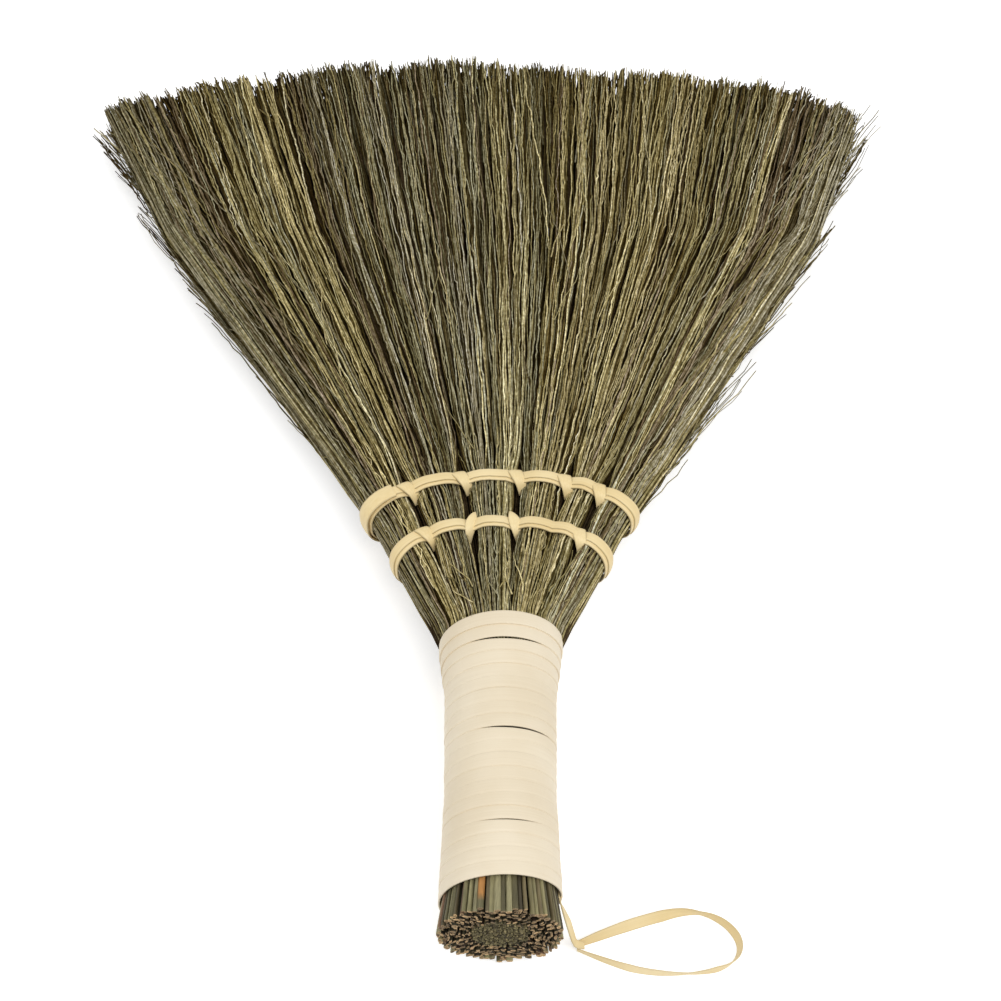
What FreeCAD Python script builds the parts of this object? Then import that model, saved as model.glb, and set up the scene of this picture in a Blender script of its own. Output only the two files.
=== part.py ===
import FreeCAD, Part
import math
import os
import Sketcher

# Soft hand broom of gathered grass, lying flat: X across the fan, Y from the cut butt to the
# tips, Z up. Lengths in mm, angles in degrees; a name ending in share is a share of another size.

broom = FreeCAD.newDocument("hand_broom")
sizes = broom.addObject("Spreadsheet::Sheet", "sizes")

driving_sizes = {
    # stretches along the broom, from the cut butt to the tips
    "exposed_stalk_length": 11.0,
    "wrap_start_to_waist": 33.0,
    "waist_to_shoulder": 36.0,
    "shoulder_to_neck": 22.0,
    "neck_to_throat": 16.0,
    "throat_to_mid_head": 29.0,
    "mid_head_to_flare": 33.0,
    "flare_to_spread": 120.0,
    "spread_to_tip": 110.0,
    "stem_recess": 1.0,
    # outer radii of the handle
    "butt_radius": 18.85,
    "wrap_start_radius": 18.4,
    "waist_radius": 17.3,
    "shoulder_radius": 18.0,
    "neck_radius": 20.9,
    # half widths and half heights of the head, how far its middle sinks below the handle's axis, how
    # far the fan leans to the left, and how far right of its middle the handle's axis lies
    "throat_half_width": 28.8,
    "mid_head_half_width": 43.4,
    "flare_half_width": 62.5,
    "spread_half_width": 134.0,
    "tip_half_width": 180.0,
    "throat_half_height": 16.6,
    "mid_head_half_height": 13.0,
    "flare_half_height": 12.0,
    "spread_half_height": 12.1,
    "tip_half_height": 13.2,
    "throat_sink": 0.0,
    "mid_head_sink": 0.9,
    "flare_sink": 2.6,
    "spread_sink": 6.2,
    "spread_lean": 3.5,
    "tip_lean": 9.5,
    "axis_offset": 8.0,
    "tip_arc_radius": 450.0,
    # seams between the six grass bundles
    "seam_1_share": -0.636,
    "seam_2_share": -0.25,
    "seam_3_share": 0.12,
    "seam_4_share": 0.447,
    "seam_5_share": 0.70,
    "stem_gap": 0.3,
    "bundle_gap": 1.2,
    "tuft_depth": 2.4,
    # filler stalks packed round the stems
    "stalk_thickness": 1.5,
    "stalk_side_gap": 0.15,
    "outer_stalk_slots": 44,
    "inner_stalk_slots": 36,
    "tail_slots": 2,
    # flat strip wound round the handle
    "wrap_strip_width": 4.0,
    "wrap_strip_thickness": 0.8,
    "wrap_turn_gap": 0.45,
    # cord that ties the stems together at the neck
    "tie_cord_diameter": 1.5,
    "tie_cord_gap": 0.6,
    "tie_cord_turns": 2.25,
    "shoulder_to_tie_cord": 1.6,
    # bands bound across the head and the strip that stitches them
    "band_width": 3.5,
    "band_thickness": 0.6,
    "band_ply_shift": 1.2,
    "band_ply_gap": 0.42,
    "band_turns": 1.6,
    "throat_to_lower_band": 14.0,
    "lower_band_bow": 9.3,
    "mid_head_to_upper_band": 4.5,
    "upper_band_bow": 11.9,
    "lap_width": 5.6,
    "stitch_thickness": 0.7,
    "stitch_leaf_width": 3.6,
    "stitch_end_gap": 1.0,
    # flat ribbon of the hanging loop
    "ribbon_width": 3.0,
    "ribbon_thickness": 0.7,
    "tail_tuck_length": 16.0,
    "tail_from_butt": 4.5,
    "tail_clearance": 3.6,
    "tail_foot_height": 3.6,
    "floor_gap": 0.25,
    # clearances
    "fit": 0.15,
    "stem_fit": 0.35,
    "strip_fit": 0.3,
    "band_fit": 0.3,
    "stitch_fit": 0.3,
}
for row, (alias, amount) in enumerate(driving_sizes.items(), start=1):
    sizes.set(f"A{row}", alias.replace("_", " "))
    sizes.set(f"B{row}", str(amount))
    sizes.setAlias(f"B{row}", alias)
broom.recompute()


def size(name):
    return float(getattr(sizes, name))


def cell(name):
    return f"sizes.{name}"


# A section's exponent is 2 for a circle or an ellipse, and larger for a squarer oval. A lobe share
# is how far the outline dips at a seam between two bundles, and a tuft share how much of the full
# depth the furrows between the tufts of a bundle have there.
edge_share = 0.97
bundle_tuft_counts = [6, 7, 7, 6, 5, 5]
seam_names = [f"seam_{number}_share" for number in range(1, 6)]
section_names = "butt wrap_start waist shoulder neck throat mid_head flare spread tip".split()
section_exponents = dict(zip(section_names, [2, 2, 2, 2, 2, 2.4, 2.8, 3.2, 4.5, 6]))
section_lobe_shares = dict(zip(section_names, [0, 0, 0, 0, 0, 0.10, 0.16, 0.14, 0.10, 0.08]))
section_tuft_shares = dict(zip(section_names, [0, 0, 0, 0, 0, 0.2, 0.35, 0.75, 1, 1]))
stretch_names = [
    "exposed_stalk_length",
    "wrap_start_to_waist",
    "waist_to_shoulder",
    "shoulder_to_neck",
    "neck_to_throat",
    "throat_to_mid_head",
    "mid_head_to_flare",
    "flare_to_spread",
    "spread_to_tip",
]
overall = "(" + " + ".join(cell(name) for name in stretch_names) + ")"

# Between the stems and the outside of the handle lie two rings of stalks and, past the bare butt,
# the wound strip.
strip_layer = f"({cell('wrap_strip_thickness')} + {cell('strip_fit')})"
stalk_layer = f"({cell('stalk_thickness')} + {cell('fit')})"
stalk_outside = {
    "butt": cell("butt_radius"),
    "wrap_start": f"{cell('wrap_start_radius')} - {strip_layer}",
    "waist": f"{cell('waist_radius')} - {strip_layer}",
    "shoulder": f"{cell('shoulder_radius')} - {strip_layer}",
}
packing = f"2*{stalk_layer} + {cell('stem_fit')}"
handle_stems = {name: f"{outside} - ({packing})" for name, outside in stalk_outside.items()}
handle_stems["neck"] = f"{cell('neck_radius')} - {strip_layer}"


def along(name):
    """The distance from the cut butt to a section of the stems."""
    if name == "butt":
        return cell("stem_recess")
    return " + ".join(cell(stretch) for stretch in stretch_names[: section_names.index(name)])


def half_width(name):
    return handle_stems.get(name) or cell(f"{name}_half_width")


def half_height(name):
    return handle_stems.get(name) or cell(f"{name}_half_height")


def sink(name):
    """How far the middle of a section lies below the handle's axis; the tips lie on the floor."""
    if name == "tip":
        return f"{cell('neck_radius')} - {cell('tip_half_height')}"
    return "0" if name in handle_stems else cell(f"{name}_sink")


def lean(name):
    return cell(f"{name}_lean") if name in ("spread", "tip") else "0"


def value(expression):
    return float(sizes.evalExpression(expression))


def origin_part(body, role):
    return next(part for part in body.Origin.OriginFeatures if part.Role == role)


def handle_body(label):
    """A body whose origin is the middle of the cut butt, with its Y axis along the handle."""
    body = broom.addObject("PartDesign::Body", label)
    body.setExpression("Placement.Base.x", cell("axis_offset"))
    body.setExpression("Placement.Base.y", f"-{overall}/2")
    body.setExpression("Placement.Base.z", cell("neck_radius"))
    return body


def cross_sketch(body, name, along_expression, sink_expression, outline):
    """A closed outline across the handle, at a distance from the butt. Each point of the outline is
    a pair of expressions, across and up from the middle."""
    sketch = body.newObject("Sketcher::SketchObject", name)
    sketch.AttachmentSupport = (origin_part(body, "XZ_Plane"), [""])
    sketch.MapMode = "FlatFace"
    sketch.setExpression("AttachmentOffset.Base.z", f"-({along_expression})")
    sketch.setExpression("AttachmentOffset.Base.y", f"-({sink_expression})")
    points = [FreeCAD.Vector(value(across), value(up), 0) for across, up in outline]
    ends = points[1:] + points[:1]
    sketch.addGeometry([Part.LineSegment(start, end) for start, end in zip(points, ends)], False)
    count = len(points)
    sketch.addConstraint(
        [Sketcher.Constraint("Coincident", edge, 2, (edge + 1) % count, 1) for edge in range(count)]
    )
    for edge, (across, up) in enumerate(outline):
        for kind, expression in (("DistanceX", across), ("DistanceY", up)):
            bound = sketch.addConstraint(
                Sketcher.Constraint(kind, -1, 1, edge, 1, value(expression))
            )
            sketch.setExpression(f"Constraints[{bound}]", expression)
    return sketch


def oval_height(name, share_expression):
    """The height of the oval outline at a share of its half width."""
    power = section_exponents[name]
    return f"({half_height(name)})*pow(1 - pow(abs({share_expression}); {power}); 1/{power})"


def bundle_section(body, name, left, right, tufts):
    """One section of a bundle: upright seams or rounded edges at its sides, and a shallow lobe above
    and below, ridged by its tufts. left and right are seam names, and an empty name is the outer edge
    of the broom."""
    gap = cell("stem_gap" if name in handle_stems else "bundle_gap")
    wide = f"({half_width(name)})"
    left_share = cell(left) if left else f"-{edge_share}"
    right_share = cell(right) if right else f"{edge_share}"
    left_inset = f"{gap}/2" if left else "0"
    right_inset = f"{gap}/2" if right else "0"
    upper_edge = []
    for step in range(2 * tufts + 1):
        way = step / (2 * tufts)
        share = f"({left_share} + {way}*({right_share} - {left_share}))"
        inset = f"({1 - way}*{left_inset} - {way}*{right_inset})"
        dip = section_lobe_shares[name] * (2 * way - 1) ** 2
        across = f"{wide}*{share} + {inset} - {lean(name)}"
        furrow = section_tuft_shares[name] if step % 2 == 0 else 0
        up = f"{oval_height(name, share)}*(1 - {dip}) - {furrow}*{cell('tuft_depth')}"
        upper_edge.append((across, up))
    lower_edge = [(across, f"-({up})") for across, up in reversed(upper_edge)]
    right_edge = [] if right else [(f"{wide} - {lean(name)}", "0")]
    left_edge = [] if left else [(f"-{wide} - {lean(name)}", "0")]
    outline = upper_edge + right_edge + lower_edge + left_edge
    return cross_sketch(body, f"{body.Name}_{name}", along(name), sink(name), outline)


def lofted(body, name, sections):
    loft = body.newObject("PartDesign::AdditiveLoft", name)
    loft.Profile, loft.Sections, loft.Ruled = sections[0], sections[1:], True
    return loft


parts = []


def keep(part, label):
    part.Label = label
    parts.append(part)
    return part


# Six bundles of grass: stems side by side in the handle, fanned flat in the head. One wide disc
# trims their tips to a shallow arc.
tip_disc = broom.addObject("Part::Cylinder", "tip_disc")
tip_disc.setExpression("Radius", cell("tip_arc_radius"))
tip_disc.setExpression("Height", f"4*{cell('neck_radius')}")
tip_disc.setExpression("Placement.Base.x", f"{cell('axis_offset')} - {lean('tip')}")
tip_disc.setExpression("Placement.Base.y", f"{overall}/2 - {cell('tip_arc_radius')}")
tip_disc.setExpression("Placement.Base.z", f"-{cell('neck_radius')}")
seam_pairs = list(zip([""] + seam_names, seam_names + [""]))
for number, (left_seam, right_seam) in enumerate(seam_pairs, start=1):
    tufts = bundle_tuft_counts[number - 1]
    stems = handle_body(f"bundle_{number}_stems")
    outlines = [bundle_section(stems, name, left_seam, right_seam, tufts) for name in section_names]
    lofted(stems, f"bundle_{number}_loft", outlines)
    trimmed = broom.addObject("Part::Common", f"bundle_{number}_trimmed")
    trimmed.Base, trimmed.Tool = stems, tip_disc
    keep(trimmed, f"grass_bundle_{number}")


def stalk_ring(label, slots_name, rings_outside, left_open):
    """A ring of flat stalks that splay at the butt; left_open slots at the right side stay free."""
    body = handle_body(label)
    body.AllowCompound = True
    outside = {name: f"({radius} - {rings_outside}*{stalk_layer})" for name, radius in stalk_outside.items()}
    inside = [f"{radius} - {cell('stalk_thickness')}" for radius in outside.values()]
    slot_angle = f"360 deg/{cell(slots_name)}"
    width = f"2*tan({slot_angle}/2)*min({'; '.join(inside)}) - {cell('stalk_side_gap')}"
    sections = []
    for name, radius in outside.items():
        away = "0" if name == "butt" else along(name)
        inner = f"{radius} - {cell('stalk_thickness')}"
        low, high = f"-({width})/2", f"({width})/2"
        corners = [(inner, low), (radius, low), (radius, high), (inner, high)]
        sections.append(cross_sketch(body, f"{label}_{name}", away, "0", corners))
    stalk = lofted(body, f"{label}_stalk", sections)
    ring = body.newObject("PartDesign::PolarPattern", f"{label}_ring")
    ring.Originals, ring.Axis = [stalk], (origin_part(body, "Y_Axis"), [""])
    ring.setExpression("Occurrences", f"{cell(slots_name)} - {left_open}")
    ring.setExpression("Angle", f"({cell(slots_name)} - {left_open} - 1)*{slot_angle}")
    body.Tip = ring
    body.Placement = FreeCAD.Placement(body.Placement.Base, FreeCAD.Rotation(FreeCAD.Vector(0, 1, 0), 1))
    body.setExpression("Placement.Rotation.Angle", f"({left_open} + 1)/2*{slot_angle}")
    keep(body, label)


stalk_ring("outer_stalks", "outer_stalk_slots", 0, cell("tail_slots"))
stalk_ring("inner_stalks", "inner_stalk_slots", 1, "0")

# Soft strips and cords that follow the handle and the head are lofted through their own sections.
# Each is one unbroken length with open ends.
turn_section_count = 24
length = value(overall)
axis_height = size("neck_radius")
axis_across = size("axis_offset")


def between(stations, at):
    """A value that runs straight between (distance, value) stations."""
    for (start, first), (end, last) in zip(stations[:-1], stations[1:]):
        if at <= end:
            return first + (last - first) * (at - start) / (end - start)
    return stations[-1][1]


def handle_point(angle, from_butt, radius):
    """A point round the handle's axis; the angle runs from the right side over the top."""
    turned = math.radians(angle)
    across, up = radius * math.cos(turned), radius * math.sin(turned)
    return FreeCAD.Vector(axis_across + across, from_butt - length / 2, axis_height + up)


def strip_corners(centre, side, through):
    """The corners of a flat strip's section, from its half width and half thickness."""
    return [
        centre - side - through,
        centre + side - through,
        centre + side + through,
        centre - side + through,
    ]


def loft_through(sections):
    wires = [Part.makePolygon(corners + corners[:1]) for corners in sections]
    return Part.makeLoft(wires, True, True)


def folded_through(sections):
    """A folded strip of flat facets through its four-cornered sections."""
    ends = [Part.Face(Part.makePolygon(corners + corners[:1])) for corners in (sections[0], sections[-1])]
    facets = []
    for here, there in zip(sections[:-1], sections[1:]):
        for start, end in zip(range(4), (1, 2, 3, 0)):
            near = [here[start], here[end], there[end], here[start]]
            far = [here[start], there[end], there[start], here[start]]
            facets += [Part.Face(Part.makePolygon(near)), Part.Face(Part.makePolygon(far))]
    shell = Part.makeShell(facets + ends)
    shell.sewShape()
    strip = Part.makeSolid(shell)
    if strip.Volume < 0:
        strip.reverse()
    return strip.removeSplitter()


def soft_part(shape, label):
    part = broom.addObject("Part::Feature", label)
    part.Shape = shape
    part.Placement = FreeCAD.Placement()
    return keep(part, label)


def least_gap(sections, per_turn, label):
    """The least distance between the sections of a winding that lie one turn apart."""
    outlines = [Part.makePolygon(corners + corners[:1]) for corners in sections]
    gaps = [here.distToShape(turn_on)[0] for here, turn_on in zip(outlines, outlines[per_turn:])]
    print(f"{label}: least gap to itself {min(gaps):.2f} mm")


wrap_outside = [
    (value(along(name)), size(f"{name}_radius")) for name in ("wrap_start", "waist", "shoulder", "neck")
]
tie_under = [(value(along(name)), value(handle_stems[name])) for name in ("shoulder", "neck")]


def handle_wrap():
    """The flat strip from the bare butt to the neck, climbing from the left over the top."""
    wide, thick = size("wrap_strip_width"), size("wrap_strip_thickness")
    pitch = wide + size("wrap_turn_gap")
    start = wrap_outside[0][0]
    turns = (wrap_outside[-1][0] - start - wide) / pitch
    count = round(turns * turn_section_count)
    sections = []
    for step in range(count + 1):
        turn = turns * step / count
        low = start + turn * pitch
        angle = 180 - 360 * turn
        low_out, high_out = between(wrap_outside, low), between(wrap_outside, low + wide)
        sections.append(
            [
                handle_point(angle, low, low_out - thick),
                handle_point(angle, low, low_out),
                handle_point(angle, low + wide, high_out),
                handle_point(angle, low + wide, high_out - thick),
            ]
        )
    least_gap(sections, round(count / turns), "handle_wrap")
    soft_part(loft_through(sections), "handle_wrap")


def neck_tie():
    """The cord wound on the cone of stems between the ends of the stalks and the neck."""
    thick = size("tie_cord_diameter")
    pitch, turns = thick + size("tie_cord_gap"), size("tie_cord_turns")
    start = tie_under[0][0] + size("shoulder_to_tie_cord")
    count = round(turns * turn_section_count)
    cord_sides = 8
    sections = []
    for step in range(count + 1):
        turn = turns * step / count
        middle = start + turn * pitch
        angle = -360 * turn
        radius = between(tie_under, middle) + size("strip_fit") + thick / 2
        round_cord = [math.radians(360 * side / cord_sides) for side in range(cord_sides)]
        sections.append(
            [
                handle_point(
                    angle, middle + thick / 2 * math.cos(around), radius + thick / 2 * math.sin(around)
                )
                for around in round_cord
            ]
        )
    least_gap(sections, turn_section_count, "neck_tie")
    soft_part(loft_through(sections), "neck_tie")


handle_wrap()
neck_tie()

head_names = section_names[section_names.index("neck") :]
head_stations = {
    "wide": [(value(along(name)), value(half_width(name))) for name in head_names],
    "tall": [(value(along(name)), value(half_height(name))) for name in head_names],
    "sink": [(value(along(name)), value(sink(name))) for name in head_names],
    "power": [(value(along(name)), section_exponents[name]) for name in head_names],
}


def head(name, from_butt):
    return between(head_stations[name], from_butt)


def signed_power(base, power):
    return math.copysign(abs(base) ** power, base)


def outline_share(angle, from_butt):
    """Where an angle meets the oval outline of the head, as shares of its half width and height."""
    power, turned = head("power", from_butt), math.radians(angle)
    return signed_power(math.cos(turned), 2 / power), signed_power(math.sin(turned), 2 / power)


def head_point(angle, from_butt):
    """A point on the oval outline of the head; the angle runs as on the handle."""
    across, up = outline_share(angle, from_butt)
    return FreeCAD.Vector(
        axis_across + head("wide", from_butt) * across,
        from_butt - length / 2,
        axis_height - head("sink", from_butt) + head("tall", from_butt) * up,
    )


def head_outward(angle, from_butt):
    across, up = outline_share(angle, from_butt)
    steepness = head("power", from_butt) - 1
    return FreeCAD.Vector(
        signed_power(across, steepness) / head("wide", from_butt),
        0,
        signed_power(up, steepness) / head("tall", from_butt),
    ).normalize()


band_start_angle = 200.0
# A stitch's leaf as pairs: the share of its reach from the middle, and the share of its full width.
leaf_shares = [(0.5, 0.75), (0, 1), (-0.5, 0.75)]
band_ply = size("band_thickness") + size("band_ply_gap")
bands = {
    "lower": (value(along("throat")) + size("throat_to_lower_band"), size("lower_band_bow")),
    "upper": (value(along("mid_head")) + size("mid_head_to_upper_band"), size("upper_band_bow")),
}


def band_middle(band, share):
    """The distance from the butt to the middle of a band, at a share of the head's half width."""
    side, bow = bands[band]
    return side + bow * (1 - share**2)


def strip_section(band, angle, shift, lift, wide, thick):
    """One section of a strip on the head, its width along the broom."""
    share, _ = outline_share(angle, bands[band][0])
    middle = band_middle(band, share) + shift
    out = head_outward(angle, middle)
    low, high = head_point(angle, middle - wide / 2), head_point(angle, middle + wide / 2)
    under, over = out * lift, out * (lift + thick)
    return [low + under, low + over, high + over, high + under]


def band_lift(turn):
    return size("band_fit") + band_ply * turn


def band_section(band, turn):
    """A section of a band, counted in turns from its start behind the left edge."""
    shift = size("band_ply_shift") * (turn - size("band_turns") / 2)
    angle = band_start_angle - 360 * turn
    return strip_section(
        band, angle, shift, band_lift(turn), size("band_width"), size("band_thickness")
    )


def band_strip(band):
    """A band: one strip that crosses the front twice."""
    turns = size("band_turns")
    count = round(turns * turn_section_count)
    sections = [band_section(band, turns * step / count) for step in range(count + 1)]
    least_gap(sections, turn_section_count, f"{band}_band")
    soft_part(folded_through(sections), f"{band}_band")


def end_lap():
    """The broad end of the strip, lapped round the left edge over the upper band."""
    first_angle, last_angle, count = 132.0, 218.0, 9
    lift = band_lift(1 + (band_start_angle - first_angle) / 360) + band_ply
    sections = [
        strip_section(
            "upper",
            first_angle + (last_angle - first_angle) * step / count,
            0,
            lift,
            size("lap_width"),
            size("band_thickness"),
        )
        for step in range(count + 1)
    ]
    soft_part(folded_through(sections), "band_end_lap")


def stitch(band, seam_name, label):
    """A loop of strip through the seam between two bundles, narrow in the seam and folded out to a
    leaf where it crosses the band at the front and at the back."""
    share = size(seam_name)
    middle = band_middle(band, share)
    wide, power = head("wide", middle), head("power", middle)
    step = size("band_width")
    slope = share * (head("wide", middle + step) - head("wide", middle - step)) / (2 * step)
    thick, leaf = size("stitch_thickness"), size("stitch_leaf_width")
    centre_height = axis_height - head("sink", middle)
    clear = size("stitch_fit") + thick / 2
    front = back = 0
    for leaf_share in (share - leaf / (2 * wide), share, share + leaf / (2 * wide)):
        seam_angle = math.degrees(math.acos(signed_power(leaf_share, power / 2)))
        over = band_section(band, 1 + (band_start_angle - seam_angle) / 360)
        under = band_section(band, (band_start_angle + seam_angle) / 360)
        front = max([front] + [corner.z - centre_height + clear for corner in over])
        back = max([back] + [centre_height - corner.z + clear for corner in under])
    ply_drift = size("band_ply_shift") * size("band_turns")
    reach = (size("band_width") + ply_drift + thick) / 2 + 2 * size("stitch_fit")
    end = size("stitch_end_gap") / 2

    def section(forward, up, thick_forward, thick_up, width):
        """A section of the strip, its thickness given as a way forward and a way up."""
        centre = FreeCAD.Vector(0, forward, up)
        through = FreeCAD.Vector(0, thick_forward, thick_up) / 2
        side = FreeCAD.Vector(width / 2, 0, 0)
        return strip_corners(centre, side, through)

    def crossing(level, way):
        """The sections from one corner over the band to the other, way being forward or back."""
        outward = math.copysign(thick, level)
        leaves = [
            section(way * share_forward * reach, level, 0, outward, leaf * share_wide)
            for share_forward, share_wide in leaf_shares
        ]
        return (
            [section(way * reach, level, way * thick, outward, thick)]
            + leaves
            + [section(-way * reach, level, -way * thick, outward, thick)]
        )

    sections = (
        [section(reach, end, thick, 0, thick)]
        + crossing(front, 1)
        + crossing(-back, -1)
        + [section(reach, -end, thick, 0, thick)]
    )
    part = soft_part(folded_through(sections), label)
    place = FreeCAD.Vector(axis_across + share * wide, middle - length / 2, centre_height)
    turn = FreeCAD.Rotation(FreeCAD.Vector(0, 0, 1), -math.degrees(math.atan(slope)))
    part.Placement = FreeCAD.Placement(place, turn)


for band in bands:
    band_strip(band)
end_lap()
for number, seam_name in enumerate(seam_names, start=1):
    stitch("upper", seam_name, f"upper_stitch_{number}")
# The fourth and fifth bundles are still bound together at the lower band.
lower_seams = [name for name in seam_names if name != "seam_4_share"]
for number, seam_name in enumerate(lower_seams, start=1):
    stitch("lower", seam_name, f"lower_stitch_{number}")


stalk_stations = [
    (0 if name == "butt" else value(along(name)), value(radius)) for name, radius in stalk_outside.items()
]
tail_foot = FreeCAD.Vector(
    axis_across
    + between(stalk_stations, size("tail_from_butt") - size("ribbon_width"))
    + size("tail_clearance")
    + size("stalk_thickness") / 2,
    size("tail_from_butt") - length / 2,
    size("tail_foot_height"),
)


def loop_tail():
    """The folded tail of the hanging ribbon: tucked under the strip, in the place of two stalks,
    then out at the right of the butt and down towards the floor."""
    wide, thick = size("ribbon_width"), size("stalk_thickness")
    mouth = value(along("wrap_start"))
    tuck = mouth + size("tail_tuck_length")
    bend = size("tail_from_butt")
    drop = tail_foot.z - axis_height

    def across(away, from_butt, up, width_along, width_up):
        """A section of the flat tail, its width given as a way along the broom and a way up."""
        middle = FreeCAD.Vector(away, from_butt - length / 2, axis_height + up)
        side = FreeCAD.Vector(0, width_along, width_up) / 2
        through = FreeCAD.Vector(thick / 2, 0, 0)
        return strip_corners(middle, side, through)

    def under(from_butt):
        return axis_across + between(stalk_stations, from_butt) - thick / 2

    sections = [
        across(under(tuck), tuck, 0, 0, wide),
        across(under(mouth), mouth, 0, 0, wide),
        across((under(mouth) + tail_foot.x) / 2, bend, 0, -wide, wide),
        across(tail_foot.x, bend, drop / 2, -wide, 0),
        across(tail_foot.x, bend, drop, -wide, 0),
    ]
    soft_part(folded_through(sections), "loop_tail")


loop_tail()

# The free ribbon of the hanging loop lies on the floor at the right of the butt and stands on its
# edge. Its route is in mm to the right of the tail's foot, and from there towards the tips.
loop_route = [
    (0.0, 0.8),
    (10.1, 4.9),
    (22.1, 8.9),
    (34.6, 11.9),
    (44.6, 8.9),
    (50.1, 1.7),
    (47.6, -5.1),
    (38.1, -8.1),
    (25.1, -8.4),
    (12.6, -6.1),
    (0.0, -0.8),
]
bend_share = 0.45


def hang_loop():
    height = size("floor_gap") + size("ribbon_width") / 2
    points = [FreeCAD.Vector(tail_foot.x + x, tail_foot.y + y, height) for x, y in loop_route]
    edges, radii, here = [], [], points[0]
    for before, corner, after in zip(points[:-2], points[1:-1], points[2:]):
        arriving, leaving = corner - before, after - corner
        shorter = min(arriving.Length, leaving.Length)
        turn = arriving.getAngle(leaving)
        cut = bend_share * shorter
        radii.append(cut / math.tan(turn / 2))
        first = corner - FreeCAD.Vector(arriving).normalize() * cut
        last = corner + FreeCAD.Vector(leaving).normalize() * cut
        chord = (first + last) * 0.5
        cosine = math.cos(turn / 2)
        crest = chord + (corner - chord) * (cosine / (1 + cosine))
        edges += [Part.LineSegment(here, first).toShape(), Part.Arc(first, crest, last).toShape()]
        here = last
    edges.append(Part.LineSegment(here, points[-1]).toShape())
    path = Part.Wire(edges)
    heading = (points[1] - points[0]).normalize()
    side = FreeCAD.Vector(-heading.y, heading.x, 0) * (size("ribbon_thickness") / 2)
    upright = FreeCAD.Vector(0, 0, size("ribbon_width") / 2)
    corners = strip_corners(points[0], side, upright)
    ribbon = path.makePipeShell([Part.makePolygon(corners + corners[:1])], True, False)
    section = size("ribbon_width") * size("ribbon_thickness")
    print("hang_loop: bend radii", " ".join(f"{radius:.1f}" for radius in radii), "mm")
    volume_share = ribbon.Volume / (section * path.Length)
    print(f"hang_loop: {path.Length:.1f} mm long, volume {volume_share:.3f} of section times length")
    soft_part(ribbon, "hang_loop")


hang_loop()

broom.recompute()
failed = [item.Label for item in broom.Objects if {"Invalid", "Error"} & set(item.State)]
failed += [part.Label for part in parts if part.Shape.isNull() or not part.Shape.isValid()]
if failed:
    raise RuntimeError(f"not built: {failed}")
os.makedirs("parts", exist_ok=True)
for part in parts:
    part.Shape.exportStep(os.path.join("parts", f"{part.Label}.step"))
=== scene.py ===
import math
import bpy
import numpy as np
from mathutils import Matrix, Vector


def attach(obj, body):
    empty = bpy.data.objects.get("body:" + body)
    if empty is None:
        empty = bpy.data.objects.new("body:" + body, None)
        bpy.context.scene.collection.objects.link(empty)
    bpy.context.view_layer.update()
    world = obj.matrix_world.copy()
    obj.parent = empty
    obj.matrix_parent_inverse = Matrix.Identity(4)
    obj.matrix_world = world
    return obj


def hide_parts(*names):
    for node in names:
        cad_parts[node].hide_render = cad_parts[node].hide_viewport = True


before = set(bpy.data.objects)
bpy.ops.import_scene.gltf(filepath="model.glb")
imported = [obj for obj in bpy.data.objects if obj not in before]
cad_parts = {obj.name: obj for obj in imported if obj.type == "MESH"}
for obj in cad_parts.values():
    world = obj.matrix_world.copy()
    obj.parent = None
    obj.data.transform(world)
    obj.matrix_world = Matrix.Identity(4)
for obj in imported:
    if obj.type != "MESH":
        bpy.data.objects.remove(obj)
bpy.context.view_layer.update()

mm = 0.001
wave = 6.28  # radians in one wave of a stem
halfLength = 205.0  # the frame's middle lies half way from the cut butt to the tips
axisX = 8.0  # the handle's axis lies right of the middle of the leaning fan
print("frame loaded:", len(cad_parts), "nodes")


# small tools

def deselectAll():
    if bpy.context.object and bpy.context.object.mode != "OBJECT":
        bpy.ops.object.mode_set(mode="OBJECT")
    bpy.ops.object.select_all(action="DESELECT")


def pick(piece):
    deselectAll()
    piece.select_set(True)
    bpy.context.view_layer.objects.active = piece


def toLinear(hexText):  # sRGB hex to linear colour
    parts = [int(hexText[i:i + 2], 16) / 255 for i in (1, 3, 5)]
    return [c / 12.92 if c <= 0.04045 else ((c + 0.055) / 1.055) ** 2.4 for c in parts] + [1.0]


def addObject(name, data):
    item = bpy.data.objects.new(name, data)
    bpy.context.scene.collection.objects.link(item)
    return item


def addCurve(name, kind, points):
    curve = bpy.data.curves.new(name, "CURVE")
    curve.dimensions = "3D"
    spline = curve.splines.new(kind)
    spline.points.add(len(points) - 1)
    for point, spot in zip(spline.points, points):
        point.co = (*spot, 1)
    return addObject(name, curve)


def feed(node, links):  # from a socket, or from the first open output of a node
    for name, source in links.items():
        if isinstance(source, bpy.types.Node):
            source = next(socket for socket in source.outputs if socket.enabled)
        node.id_data.links.new(source, node.inputs[name])


def addNode(tree, kind, settings=None, values=None, links=None):
    node = tree.nodes.new("ShaderNode" + kind)
    for name, value in (settings or {}).items():
        setattr(node, name, value)
    for name, value in (values or {}).items():
        node.inputs[name].default_value = value
    feed(node, links or {})
    return node


def startMaterial(name, roughness, gloss):
    material = bpy.data.materials.new(name)
    material.use_nodes = True
    tree = material.node_tree
    shader = tree.nodes["Principled BSDF"]
    shader.inputs["Roughness"].default_value = roughness
    shader.inputs["Specular IOR Level"].default_value = gloss
    return material, tree, shader


# studio and camera

studio = {
    "cameraPlace": (0.008, -0.3864, 0.4529),
    "cameraDip": 51.6,  # degrees below level
    "lens": 55.96,
    "sensor": 36,
    "floorSize": 8.0,
    "floorDrop": 0.0002,
    "floorLift": 0.45,  # glow that makes the paper white to the camera
    "skyStrength": 0.58,
    # power, size and place
    "lamps": {"key": (8.5, 0.9, (0.5, -0.6, 1.15)), "fill": (3.0, 1.2, (-0.9, -0.2, 0.8))},
}


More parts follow.
